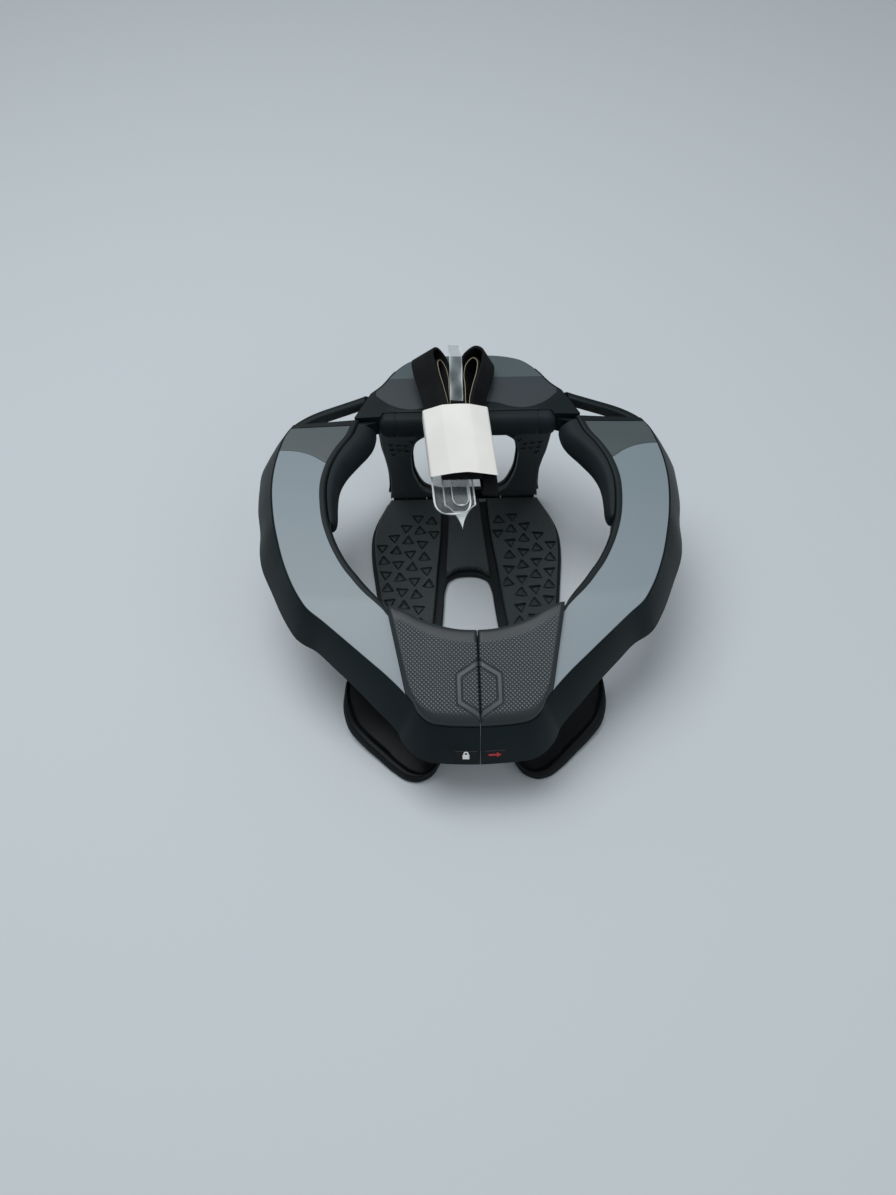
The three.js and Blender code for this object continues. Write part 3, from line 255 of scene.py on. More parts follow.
def knurled(name, colour, light, pitch, depth, masked=False, emblem=None, above=None):
    # moulded skin with a fine diamond pattern whose ridges carry a painted highlight, bare where the mark
    # called border runs out
    finish = Finish(name, colour, 0.45, Specular_IOR_Level=0.5)
    along, across, height = finish.lay()
    turn = math.pi / pitch
    weave = (((along + across) * turn).sine() * ((along - across) * turn).sine()).size()
    cloud = finish.noise(22.0, 3.0)
    shown = cloud.ramp(0.2, 0.6) * 0.3 + 0.7
    if masked:
        shown = shown * finish.mark("border").ramp(3.2, 6.0)
    if above is not None:
        shown = shown * height.ramp(above, above + 0.8)
    relief = weave * shown * depth
    # painted highlight: the knurl's ridges are painted lighter
    bright = weave.ramp(0.25, 0.9) * shown
    if emblem:
        band = finish.mark("emblem").size()
        inside = 1 - band.ramp(emblem["half"] - 0.25, emblem["half"] + 0.25)
        groove = 1 - (band - emblem["half"]).size().ramp(0.1, 0.75)
        relief = relief * (1 - inside) + inside * emblem["raise"] - groove * emblem["groove"]
        # painted shade: the emblem's groove is painted dark
        bright = (bright * (1 - inside) + inside * 0.35) * (1 - groove)
    finish.paint(finish.colours(bright, colour, light))
    finish.gloss(0.5 - bright * 0.12 + (cloud - 0.5) * 0.1)
    finish.relief(relief)
    return finish


def smoothFoam(name, colour, light):
    finish = Finish(name, colour, 0.62, Specular_IOR_Level=0.18)
    cloud = finish.noise(30.0, 4.0)
    pores = finish.noise(3200.0, 2.0)
    finish.paint(finish.colours(cloud.ramp(0.3, 0.7), colour, light))
    finish.gloss(0.6 + (cloud - 0.5) * 0.15)
    finish.relief(pores * 0.04 + cloud * 0.25)
    return finish


def woven(name, colour, light):
    # herringbone webbing: ribs along the strap, crossed by the weft
    finish = Finish(name, colour, 0.78, Specular_IOR_Level=0.15)
    along, across, _ = finish.lay()
    ribs = (across * (math.pi / 0.9)).sine().size()
    weft = ((along + (across * (math.pi / 3.6)).sine().size() * 1.2) * (math.pi / 0.8)).sine().size()
    threads = ribs * 0.6 + weft * 0.4
    cloud = finish.noise(60.0, 3.0)
    finish.paint(finish.colours(threads * cloud.ramp(0.2, 0.8), colour, light))
    finish.relief(threads * 0.22)
    return finish


def clearFilm(name):
    # see-through middle, with painted highlights: whiter where it is creased and along its moulded rim
    finish = Finish(name, tone(205, 214, 217), 0.12)
    creases = finish.noise(70.0, 2.0, 0.5)
    rim = finish.mark("edge").ramp(0.3, 1.0)
    # painted highlight on the creases: whiter and less clear
    creaseSheen = creases.ramp(0.5, 0.85)
    finish.feed(finish.shader.inputs["Alpha"], (rim * 0.55 + creaseSheen * 0.22 + 0.16).least(0.9))
    finish.paint(finish.colours(rim.most(creaseSheen * 0.6), tone(110, 122, 126), tone(226, 233, 234)))
    finish.gloss(0.2 + creaseSheen * 0.2)
    finish.relief(creases * 0.35)
    return finish


def paperStock(name):
    finish = Finish(name, tone(216, 216, 213), 0.7)
    fibres = finish.noise(900.0, 4.0, 0.6)
    cloud = finish.noise(25.0, 2.0)
    finish.paint(finish.colours(cloud.ramp(0.3, 0.75), tone(220, 220, 217), tone(209, 209, 206)))
    finish.gloss(0.55 + fibres * 0.25)
    finish.relief(fibres * 0.03 + cloud * 0.3)
    return finish


def steelPin(name):
    finish = Finish(name, tone(150, 154, 158), 0.3, Metallic=1.0)
    rings = finish.noise(700.0, 2.0)
    finish.gloss(0.25 + rings * 0.2)
    return finish


emblemSizes = {"place": -0.765, "radius": 12.5, "tall": 0.92, "half": 1.7, "raise": 0.12, "groove": 0.55}
shellBlack = mouldedPlastic("shellBlack", tone(11, 23, 26), 0.46, shine=0.13)
shellDeep = mouldedPlastic("shellDeep", tone(10, 18, 22), 0.5)
# the shell's black painted darker for the chest wings: painted shade on their upward-facing tops
wingBlack = mouldedPlastic("wingBlack", tone(4, 9, 12), 0.42, shine=0.12)
panelLight = paintedPanel("panelLight", tone(108, 122, 130), tone(125, 137, 144))
satin = {"roughness": 0.46, "speckle": 0.04, "grain": 0.012, "shine": 0.3}
panelMid = mouldedPlastic("panelMid", tone(62, 73, 76), **satin)
tableLight = mouldedPlastic("tableLight", tone(64, 77, 81), **satin)
tableMid = mouldedPlastic("tableMid", tone(41, 50, 55), **satin)
foamBlack = smoothFoam("foamBlack", tone(13, 21, 25), tone(20, 30, 34))
padWeave = knurled("padWeave", tone(22, 32, 36), tone(82, 94, 98), 2.7, 0.42, True, emblemSizes)
strutSkin = knurled("strutSkin", tone(16, 27, 30), tone(54, 67, 70), 1.9, 0.36, above=2.2)
webbingBlack = woven("webbingBlack", tone(7, 9, 11), tone(26, 30, 33))
threadCream = mouldedPlastic("threadCream", tone(150, 140, 118), 0.8)
paper = paperStock("paper")
clear = clearFilm("clear")
printBlack = mouldedPlastic("printBlack", tone(3, 4, 5), 0.3)
printWhite = mouldedPlastic("printWhite", tone(228, 230, 230), 0.5, speckle=0.02)
printRed = mouldedPlastic("printRed", tone(168, 52, 58), 0.5)
steel = steelPin("steel")
print("finishes made:", len(bpy.data.materials))


# mesh building

def loft(sections, caps=True):
    # faces between closed sections of equal length; lay runs along the sections and round them
    size = len(sections[0])
    points = [point for section in sections for point in section]
    faces = []
    for s in range(len(sections) - 1):
        for i in range(size):
            a, b = s * size + i, s * size + (i + 1) % size
            faces.append((a, b, b + size, a + size))
    if caps:
        faces.append(tuple(range(size))[::-1])
        faces.append(tuple((len(sections) - 1) * size + i for i in range(size)))
    lay = []
    along = 0.0
    middle = size // 2
    for s, section in enumerate(sections):
        if s:
            along += (Vector(section[middle]) - Vector(sections[s - 1][middle])).length
        across = 0.0
        for i, point in enumerate(section):
            if i:
                across += (Vector(point) - Vector(section[i - 1])).length
            lay.append((along, across, 0.0))
    return {"points": points, "faces": faces, "lay": lay}


def prism(bottom, top):
    # closed shape between two rings of equal length
    size = len(bottom)
    faces = [tuple(range(size))[::-1], tuple(size + i for i in range(size))]
    faces += [(i, (i + 1) % size, size + (i + 1) % size, size + i) for i in range(size)]
    return {"points": bottom + top, "faces": faces, "lay": [(x, y, 0.0) for x, y, _ in bottom + top]}


def slab(outline, low, high):
    # plate over a plan outline between two heights, each a function of x and y
    return prism([(x, y, low(x, y)) for x, y in outline], [(x, y, high(x, y)) for x, y in outline])


def rod(start, end, radius, sides=40):
    start, end = Vector(start), Vector(end)
    way = (end - start).normalized()
    side = way.orthogonal().normalized()
    other = way.cross(side)
    rings = []
    for middle in (start, end):
        turns = [2 * math.pi * i / sides for i in range(sides)]
        rings.append([middle + side * radius * math.cos(t) + other * radius * math.sin(t) for t in turns])
    return loft(rings)


def block(low, high):
    outline = [(low[0], low[1]), (high[0], low[1]), (high[0], high[1]), (low[0], high[1])]
    return slab(outline, lambda x, y: low[2], lambda x, y: high[2])


def makePiece(name, shapes, finish, body, nodes, side=1, bevel=0.0, sharp=32, marks=None):
    # one object from several closed shapes, mirrored where side is -1
    points, faces, lay = [], [], []
    for shape in shapes:
        start = len(points)
        points += [place(side * p[0], p[1], p[2]) for p in shape["points"]]
        faces += [tuple(start + i for i in (face if side > 0 else face[::-1])) for face in shape["faces"]]
        lay += shape["lay"]
    mesh = bpy.data.meshes.new(name)
    mesh.from_pydata(points, [], faces)
    layer = mesh.attributes.new("lay", "FLOAT_VECTOR", "POINT")
    layer.data.foreach_set("vector", np.array(lay, dtype=np.float32).ravel())
    for key, values in (marks or {}).items():
        mark = mesh.attributes.new(key, "FLOAT", "POINT")
        mark.data.foreach_set("value", np.array(values, dtype=np.float32))
    built = bmesh.new()
    built.from_mesh(mesh)
    bmesh.ops.remove_doubles(built, verts=built.verts, dist=1e-7)
    bmesh.ops.recalc_face_normals(built, faces=built.faces)
    built.to_mesh(mesh)
    built.free()
    mesh.shade_smooth()
    mesh.set_sharp_from_angle(angle=math.radians(sharp))
    piece = bpy.data.objects.new(name, mesh)
    scene.collection.objects.link(piece)
    mesh.materials.append(finish.material)
    if bevel:
        rounding = piece.modifiers.new("rounding", "BEVEL")
        rounding.width = bevel / perMetre
        rounding.segments = 2
        rounding.limit_method = "ANGLE"
        rounding.angle_limit = math.radians(sharp)
        weights = piece.modifiers.new("weights", "WEIGHTED_NORMAL")
        weights.keep_sharp = True
    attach(piece, body)
    if nodes:
        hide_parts(*nodes)


# the collar

collar = {
    "halfWidth": 134.0,
    "halfLength": 141.0,
    "frontTopHeight": 66.6,
    "frontPitch": 18.7,
    "rearPitch": 5.5,
    "skirtDrop": 26.0,
    "skirtLean": 12.0,
    "skirtBulge": 0.7,
    "innerDrop": 20.0,
    "wall": 3.0,
    "lip": 4.6,
    "outerLip": 1.1,
    "edgeRound": 2.4,
    "rimDrop": 0.6,
    "inlay": 1.5,
    "splitGap": 0.4,
    "bevel": 0.5,
    "panelBevel": 0.25,
    "firstPadRow": 15,
    # outer edge x and y, neck edge x and y, skirt lean, all as shares
    "rows": [
        (0.903, 0.578, 0.56, 0.6, 0.75), (0.944, 0.518, 0.593, 0.514, 1.1), (0.97, 0.44, 0.646, 0.44, 1.3),
        (0.993, 0.333, 0.694, 0.348, 1.15), (1.0, 0.234, 0.718, 0.248, 1.05),
        (0.991, 0.113, 0.716, 0.135, 0.95), (0.977, 0.028, 0.701, 0.043, 1.1),
        (0.961, -0.039, 0.681, -0.021, 1.15), (0.923, -0.167, 0.634, -0.121, 0.95),
        (0.846, -0.326, 0.586, -0.191, 0.9), (0.813, -0.372, 0.567, -0.213, 0.9),
        (0.735, -0.436, 0.541, -0.245, 0.7), (0.646, -0.509, 0.511, -0.279, 0.75),
        (0.522, -0.61, 0.474, -0.318, 0.85), (0.418, -0.695, 0.444, -0.353, 1),
        (0.336, -0.773, 0.422, -0.383, 1), (0.306, -0.809, 0.399, -0.39, 1),
        (0.28, -0.858, 0.343, -0.411, 1), (0.231, -0.897, 0.269, -0.45, 1),
        (0.164, -0.91, 0.179, -0.482, 0.96), (0.082, -0.915, 0.09, -0.501, 0.96),
        (0, -0.917, 0, -0.506, 0.96),
    ],
}
halfWidth, halfLength = collar["halfWidth"], collar["halfLength"]
lastRow = len(collar["rows"]) - 1


frontSlope = math.tan(math.radians(collar["frontPitch"]))
rearSlope = math.tan(math.radians(collar["rearPitch"]))


def topHeight(y):
    # height of the collar's top, which is steeper at the front than at the rear
    along = (y + halfLength) / (2 * halfLength)
    rise = frontSlope * along + (rearSlope - frontSlope) * along * along / 2
    return collar["frontTopHeight"] + 2 * halfLength * rise


def topSlope(y):
    return mix(frontSlope, rearSlope, (y + halfLength) / (2 * halfLength))


beside = collar["rows"][-2]
rowsPast = collar["rows"] + [(-beside[0], beside[1], -beside[2], *beside[3:])]  # one row past the middle
outerCurve = curveThrough([(r[0] * halfWidth, r[1] * halfLength, r[4]) for r in rowsPast])
neckCurve = curveThrough([(r[2] * halfWidth, r[3] * halfLength) for r in rowsPast])


def collarRow(row):
    # outer edge, neck edge and lean of the skirt, kept off the split
    outX, outY, lean = outerCurve(row)
    inX, inY = neckCurve(row)
    gap = collar["splitGap"] / 2
    return Vector((max(outX, gap), outY)), Vector((max(inX, gap), inY)), lean * collar["skirtLean"]


def outward(row):
    # level direction out of the collar's outer edge
    before = collarRow(max(row - 0.3, 0))[0]
    after = collarRow(min(row + 0.3, lastRow))[0]
    run = (after - before).normalized()
    return Vector((-run.y, run.x))


def collarPoint(row, share, offset, depth, reach=0.0):
    # share of the way from the neck edge to the outer edge, plus an offset in millimetres
    outer, neck, _ = collarRow(row)
    way = outer - neck
    flat = neck + way * (share + offset / way.length)
    z = topHeight(flat.y) - depth
    if reach:
        flat = flat + outward(row) * reach
    x = max(flat.x, collar["splitGap"] / 2)
    if row > lastRow - 0.001:
        x = collar["splitGap"] / 2
    return x, flat.y, z


def armSection(row):
    # from the inner wall's foot over the rim and the inlay's bed, down the skirt and back inside
    lean = collarRow(row)[2]
    rounding = collar["edgeRound"]
    under = collar["inlay"] + collar["wall"]
    section = [collarPoint(row, 0, 0, collar["innerDrop"])]
    for i in range(5):
        angle = math.pi / 8 * i
        offset, down = rounding * (1 - math.cos(angle)), rounding * (1 - math.sin(angle))
        section.append(collarPoint(row, 0, offset, down))
    section += [
        collarPoint(row, 0, collar["lip"], 0),
        collarPoint(row, 0, collar["lip"], collar["inlay"]),
        collarPoint(row, 1, -collar["outerLip"], collar["inlay"]),
        collarPoint(row, 1, -collar["outerLip"], 0.1),
        collarPoint(row, 1, 0, collar["rimDrop"]),
    ]
    for share in (0.35, 0.7, 1.0):
        bulge = collar["skirtBulge"] * math.sin(math.pi * share)
        section.append(collarPoint(row, 1, 0, collar["skirtDrop"] * share, lean * share + bulge))
    section += [
        collarPoint(row, 1, 0, collar["skirtDrop"], lean - collar["wall"]),
        collarPoint(row, 1, -collar["wall"], under),
        collarPoint(row, 0, collar["wall"], under),
        collarPoint(row, 0, collar["wall"], collar["innerDrop"]),
    ]
    return section


def slotWallSection(row):
    # closed end of the arm in front of the slot
    lean = collarRow(row)[2]
    return [
        collarPoint(row, 0, 0, collar["innerDrop"]),
        collarPoint(row, 0, 0, collar["edgeRound"]),
        collarPoint(row, 0, 0.3 * collar["edgeRound"], 0.3 * collar["edgeRound"]),
        collarPoint(row, 0, collar["edgeRound"], 0),
        collarPoint(row, 1, -1, 0.05),
        collarPoint(row, 1, 0, 0.7),
        collarPoint(row, 1, 0, collar["skirtDrop"], lean),
        collarPoint(row, 1, 0, collar["skirtDrop"], lean - collar["wall"]),
    ]


table = {
    "halfWidth": 67.5,
    "front": 90.0,
    "drop": 20.0,
    "lean": 2.5,
    "channelHalfWidth": 56.0,
    "cover": 4.0,
    "lap": 6.0,
    "rim": 1.6,
    # rear edge: across and back, as shares of the half width and of the depth
    "rows": [
        (0, 1), (0.36, 0.995), (0.49, 0.96), (0.6, 0.905), (0.69, 0.81), (0.775, 0.685), (0.89, 0.475),
        (1, 0.34),
    ],
    # front edge of the mid grey inlay, as the same shares
    "inlayRows": [
        (0, 0.17), (0.33, 0.13), (0.45, 0.07), (0.59, 0.045), (0.7, 0.075), (0.82, 0.15), (0.95, 0.3),
    ],
    "split": 0.58,
    "proud": 0.15,
}
tableDepth = halfLength - 0.5 - table["front"]

tableEdge = scaledCurve(table["rows"], table["halfWidth"], tableDepth)
inlayEdge = scaledCurve(table["inlayRows"], table["halfWidth"], tableDepth)


def edgeBack(curve, rows, x):
    # how far back an edge of the table is at this x
    row = lastWhere(0.0, rows - 1, lambda row: curve(row)[0] < abs(x))
    return table["front"] + curve(row)[1]


def tableBack(x):
    return edgeBack(tableEdge, len(table["rows"]), min(abs(x), table["halfWidth"]))


outerBar = {
    "width": 5.5,
    "height": 10.0,
    "lean": 2.8,
    "sink": 0.4,
    "gap": 0.5,
    "swing": 8.7,
    "rows": [
        (0.925, 0.5), (0.89, 0.56), (0.83, 0.606), (0.765, 0.639), (0.69, 0.668), (0.62, 0.694),
        (0.562, 0.716), (0.515, 0.7355), (0.47, 0.752),
    ],
}
hinge = {"x": 63.0, "y": 102.0, "radius": 6.0, "height": 12.0, "gap": 0.6}
hingeSlope = topSlope(hinge["y"])
knuckleTop = table["cover"] + hinge["gap"]
coverTip = (0.588 * halfWidth, 0.614 * halfLength)


def hingeHeight(y, depth):
    # height of a plane square to the hinge, at a depth under the collar's top
    return topHeight(hinge["y"]) + hingeSlope * (y - hinge["y"]) - depth


def onHinge(depth):
    axis = Vector((0, -hingeSlope, 1)).normalized()
    return Vector((hinge["x"], hinge["y"], topHeight(hinge["y"]))) - axis * depth


def barShape():
    # the outer bar, mitred along the table's slanting side
    route = scaledCurve(outerBar["rows"], halfWidth, halfLength)
    corner, tip = Vector((table["halfWidth"], tableBack(table["halfWidth"]))), Vector(coverTip)
    slant = (corner - tip).normalized()
    clear = Vector((slant.y, -slant.x))  # away from the table
    pivot = Vector((hinge["x"], hinge["y"]))
    sections = []
    count = len(outerBar["rows"]) - 1
    for row in steps(0, count, count * 5):
        middle = Vector(route(row))
        run = Vector(route(min(row + 0.2, count)) - route(max(row - 0.2, 0))).normalized()
        side = Vector((run.y, -run.x))
        half, lean, low = outerBar["width"] / 2, outerBar["lean"], outerBar["height"]
        sink = outerBar["sink"] * (1 - clamp(row / 1.2))
        corners = [(-half, 1.4), (-half + 0.5, 0.45), (-half + 1.4, 0), (half - 1.4, 0), (half - 0.5, 0.45),
                   (half, 1.4), (half + lean * 0.6, low * 0.5), (half + lean, low), (lean - half, low)]
        section = []
        for offset, drop in corners:
            spot = middle + side * offset
            while row > 2 and ((spot - corner).dot(clear) < outerBar["gap"]
                               or (spot - pivot).length < outerBar["swing"]):
                spot -= run * 0.1  # cut back from the table and from the hinge
            section.append((spot.x, spot.y, topHeight(spot.y) - drop - sink))
        sections.append(section)
    return loft(sections)


def hingeFoot():
    start = collarRow(0)[1]
    x, y, radius = hinge["x"], hinge["y"], hinge["radius"]
    outline = [
        (x - radius, y), (x - radius + 2, start.y + 3), (start.x - 4, start.y - 1),
        (start.x + 7, start.y - 3), (coverTip[0] - 3, coverTip[1] + 2), (x + radius + 3.5, y - 1.5),
        (x + radius - 0.5, y + 1),
    ]
    knuckleLow = knuckleTop + hinge["height"]
    web = slab(outline, lambda x, y: hingeHeight(y, knuckleLow), lambda x, y: hingeHeight(y, knuckleTop))
    return [web, rod(onHinge(knuckleLow), onHinge(knuckleTop), radius)]


# where the mid grey inlay ends and the light one starts, as shares of the half width and half length
borderRows = [(1.06, 0.43), (0.965, 0.43), (0.91, 0.428), (0.84, 0.415), (0.785, 0.392), (0.735, 0.36),
              (0.6, 0.3)]
inlayBorder = scaledCurve(borderRows, halfWidth, halfLength)


def borderY(x):
    return inlayBorder(lastWhere(0.0, len(borderRows) - 1, lambda row: inlayBorder(row)[0] > x))[1]


def stripPoint(row, share, depth):
    # spot in the inlay's bed, by share of the way from its neck side to its outer side
    first = collar["lip"] + seam / 2
    last = collar["outerLip"] + seam / 2
    return collarPoint(row, share, first * (1 - share) - last * share, depth)


def borderRow(share):
    # the collar row at which the light inlay starts, for a share across
    def behind(row):
        x, y, _ = stripPoint(row, share, 0)
        return y > borderY(x)
    return lastWhere(0.4, 5.0, behind)


def stripShape(startRow, endRow, count):
    # inlay between two rows, each a function of the share across
    shares = steps(0, 1, 14)
    starts = [startRow(s) for s in shares]
    ends = [endRow(s) for s in shares]
    sections = []
    for i in range(count + 1):
        rows = [mix(a, b, i / count) for a, b in zip(starts, ends)]
        top = [stripPoint(row, s, -0.02) for row, s in zip(rows, shares)]
        bottom = [stripPoint(row, s, collar["inlay"] - 0.1) for row, s in ((rows[-1], 1), (rows[0], 0))]
        sections.append(top + bottom)
    return loft(sections)


# the darker part of the light panel, a faint tone line with painted shade behind it, ends along this line:
# shares of the half width and half length
shadeLine = [(1.02, -0.27), (0.9, -0.3), (0.75, -0.33), (0.6, -0.34), (0.4, -0.33)]


def shadeMarks(shape):
    xs = [x * halfWidth for x, _ in shadeLine][::-1]
    ys = [y * halfLength for _, y in shadeLine][::-1]
    behind = [y - float(np.interp(abs(x), xs, ys)) for x, y, _ in shape["points"]]
    # a faint step in tone at the line, then painted shade deepening over 80 mm behind it
    return [0.35 * clamp(0.5 + distance / 5) + 0.65 * clamp(distance / 80) for distance in behind]


frontPad = {
    "height": 5.5,
    "span": 57,
    "sideRound": 4.5,
    "splitRound": 0.16,
    "bare": {"neck": 4.0, "front": 2.5, "split": 3.2},  # widths of the skin without a knurl
    # share of the way from the neck opening to the outer edge, height as a share
    "profile": [
        (-0.012, -0.06), (-0.022, 0.12), (-0.02, 0.33), (-0.005, 0.62), (0.025, 0.85), (0.07, 0.98),
        (0.14, 1.05), (0.3, 1.06), (0.45, 1.05), (0.6, 1.05), (0.75, 1.03), (0.86, 0.96), (0.92, 0.78),
        (0.955, 0.5), (0.968, 0.2), (0.97, -0.05),
    ],
}


def frontPadShape():
    profile = scaledCurve(frontPad["profile"], frontPad["span"], frontPad["height"])
    count = len(frontPad["profile"]) - 1
    across = steps(0, count, count * 5)
    start = collar["firstPadRow"] + 0.05
    rows = [start + (lastRow - start) * (i / 64) ** 1.15 for i in range(65)]
    sections, border, emblem = [], [], []
    first = None
    run = 0.0
    for row in rows:
        outer, neck, _ = collarRow(row)
        middle = outer.lerp(neck, 0.5)
        if first is not None:
            run += (middle - first).length
        first = middle
        side = clamp(run / frontPad["sideRound"])
        toSplit = clamp((lastRow - row) / frontPad["splitRound"])
        rise = mix(0.2, 1, dome(side)) * mix(0.72, 1, dome(toSplit))
        section = []
        width, bare = (outer - neck).length, frontPad["bare"]
        for step in across:
            where, height = profile(step)
            share = where / frontPad["span"]
            point = collarPoint(row, share, 0, -height * rise - 0.1)
            section.append(point)
            # how far the spot is inside the knurled part, whose edge is quick at the split
            border.append(min(run, (1 - share) * width - bare["front"], share * width - bare["neck"],
                              point[0] * 4 + bare["split"]))
            emblem.append(hexagonEdge(point[0], point[1]))
        section += [collarPoint(row, 1, -collar["outerLip"] - seam, collar["inlay"] - 0.1),
                    collarPoint(row, 0, collar["lip"] + seam, collar["inlay"] - 0.1),
                    collarPoint(row, 0, collar["lip"] + seam, -0.05),
                    collarPoint(row, 0, 0.3, -0.05)]
        border += [0.0] * 4
        emblem += [50.0] * 4
        sections.append(section)
    shape = loft(sections)
    shape["lay"] = [(x, y * 1.07, 0.0) for x, y, _ in shape["points"]]
    return shape, {"border": border, "emblem": emblem}


def hexagonEdge(x, y):
    # signed distance from the middle line of a plain hexagonal band on the front pad
    middleY = emblemSizes["place"] * halfLength
    dx, dy = abs(x), abs(y - middleY) * emblemSizes["tall"]
    return max(dx, 0.5 * dx + 0.866 * dy) - emblemSizes["radius"]


bolster = {
    "height": 23.0,
    "depth": 14.0,
    "drop": 0.4,
    "swing": 22.9,
    "rowLength": 15,
    "cap": 0.55,
    # collar row, depth and height as shares
    "rows": [
        (0.12, 0.55, 0.6), (0.4, 0.88, 0.8), (0.9, 0.98, 0.92), (1.5, 0.95, 1), (2.2, 0.84, 1),
        (3, 0.66, 0.95), (3.6, 0.56, 0.88), (4.3, 0.5, 0.8), (5, 0.44, 0.72), (5.7, 0.36, 0.62),
        (6.1, 0.2, 0.5),
    ],
}


def bolsterShape():
    curve = scaledCurve(bolster["rows"], bolster["rowLength"], bolster["depth"], bolster["height"])
    count = len(bolster["rows"]) - 1
    sections = []
    for step in steps(0, count, count * 9):
        row, reach, tall = curve(step)
        row /= bolster["rowLength"]
        toEnd = clamp(min(step, count - step) / bolster["cap"])
        end = math.sqrt(clamp(1 - (1 - toEnd) ** 2, 0.05, 1))
        section = []
        for i in range(19):
            angle = math.pi * i / 18
            out = seam + reach * end * max(math.sin(angle), 0) ** 0.72
            drop = bolster["drop"] + tall / 2 * (1 - math.cos(angle) * (0.35 + 0.65 * end))
            x, y, z = collarPoint(row, 0, -out, drop)
            # the rear end keeps clear of the table's corner when the arm opens
            away = Vector((x - hinge["x"], y - hinge["y"]))
            if away.length < bolster["swing"]:
                away = away.normalized() * bolster["swing"]
            section.append((hinge["x"] + away.x, hinge["y"] + away.y, z))
        sections.append(section)
    return loft(sections)


# rows of the collar, shares of the skirt's drop, and millimetres
label = {"height": 6.0, "low": 0.8, "rows": (19.6, 20.8), "wall": 0.5, "markRow": 20.2}
labelHigh = label["low"] - label["height"] / collar["skirtDrop"]
labelMiddle = (label["low"] + labelHigh) / 2


def skirtPoint(row, share, proud):
    # spot on the skirt by share of its drop, standing proud of it
    lean = collarRow(row)[2]
    bulge = collar["skirtBulge"] * math.sin(math.pi * share)
    drop = mix(collar["rimDrop"], collar["skirtDrop"], share)
    return collarPoint(row, 1, 0, drop, share * lean + proud + bulge)


def skirtPlate(outline, low, high):
    # thin shape on the skirt from points given as (row, share of the drop)
    return prism([skirtPoint(r, s, low) for r, s in outline], [skirtPoint(r, s, high) for r, s in outline])


def labelMark(outlines, size):
    # outlines in unit squares, drawn on the plate
    perRow = (Vector(skirtPoint(20.5, 0.5, 0)) - Vector(skirtPoint(19.5, 0.5, 0))).length
    wide, tall = size / perRow, size / collar["skirtDrop"]
    return [skirtPlate([(label["markRow"] - x * wide, labelMiddle - y * tall) for x, y in outline],
                       label["wall"] * 0.5, label["wall"] + 0.12) for outline in outlines]


padlock = [
    [(-0.36, -0.5), (0.36, -0.5), (0.36, 0.08), (-0.36, 0.08)],
    [(-0.28, 0.06), (-0.28, 0.28), (-0.2, 0.42), (0, 0.5), (0.2, 0.42), (0.28, 0.28), (0.28, 0.06),
     (0.15, 0.06), (0.15, 0.26), (0.1, 0.34), (0, 0.37), (-0.1, 0.34), (-0.15, 0.26), (-0.15, 0.06)],
]
arrow = [[(-0.9, -0.12), (0.2, -0.12), (0.2, -0.4), (0.8, 0), (0.2, 0.4), (0.2, 0.12), (-0.9, 0.12)]]

wing = {
    "wall": 2.6,
    "padHeight": 4.5,
    "dish": 1.4,
    "postLength": 18.0,
    "postWidth": 9.0,
    "postPlace": 0.84,
    # outer edge x, y, z and inner edge x, y, z, as shares
    "rows": [
        (0.64, -0.43, 0.38, 0.61, -0.435, 0.43), (0.66, -0.52, 0.34, 0.52, -0.48, 0.44),
        (0.658, -0.605, 0.27, 0.43, -0.5, 0.42), (0.63, -0.68, 0.2, 0.39, -0.545, 0.37),
        (0.57, -0.745, 0.155, 0.34, -0.585, 0.33), (0.49, -0.815, 0.13, 0.285, -0.64, 0.3),
        (0.41, -0.885, 0.112, 0.24, -0.7, 0.28), (0.345, -0.928, 0.108, 0.215, -0.745, 0.26),
        (0.285, -0.938, 0.108, 0.21, -0.785, 0.25), (0.23, -0.915, 0.115, 0.19, -0.79, 0.25),
        (0.185, -0.86, 0.14, 0.175, -0.78, 0.25),
    ],
}
front = collar["frontTopHeight"]
wingCurve = scaledCurve(wing["rows"], halfWidth, halfLength, front, halfWidth, halfLength, front)
lastWing = len(wing["rows"]) - 1


def wingPoint(row, share, lower):
    values = wingCurve(row)
    outer, inner = Vector(values[:3]), Vector(values[3:])
    point = outer.lerp(inner, share) if 0 <= share <= 1 else outer + (inner - outer) * share
    point.z -= lower + wing["dish"] * math.sin(math.pi * share)
    return point


def wingShape():
    wall = wing["wall"]
    sections = []
    for row in steps(0, lastWing, lastWing * 6):
        profile = [(0, wall), (-0.025, wall * 0.5), (-0.03, -0.2), (-0.015, -0.9), (0.02, -1.15), (0.06, -1),
                   (0.09, -0.4), (0.12, 0.4), (0.16, 0.6), (0.3, 0.6), (0.5, 0.6), (0.75, 0.4), (1, 0),
                   (1, wall), (0.5, wall + 0.6)]
        sections.append([wingPoint(row, share, lower) for share, lower in profile])
    return loft(sections)


def wingPost():
    def seat(row, share):
        return wingPoint(row, share, wing["wall"] / 2)
    foot = seat(4, wing["postPlace"])
    a, b, c = seat(3, wing["postPlace"]), seat(5, wing["postPlace"]), seat(4, 0.5)
    normal = (b - a).cross(c - a)

    def squared(value):
        return math.copysign(abs(value) ** 0.5, value)

    outline, corners = [], 24
    for i in range(corners):
        turn = 2 * math.pi * i / corners
        u = squared(math.cos(turn)) * wing["postLength"] / 2
        v = squared(math.sin(turn)) * wing["postWidth"] / 2
        outline.append((foot.x + (u - v) * math.sqrt(0.5), foot.y + (u + v) * math.sqrt(0.5)))

    def low(x, y):
        return a.z - (normal.x * (x - a.x) + normal.y * (y - a.y)) / normal.z

    return slab(outline, low, lambda x, y: topHeight(y) - collar["inlay"] - collar["wall"] - 2 * seam)


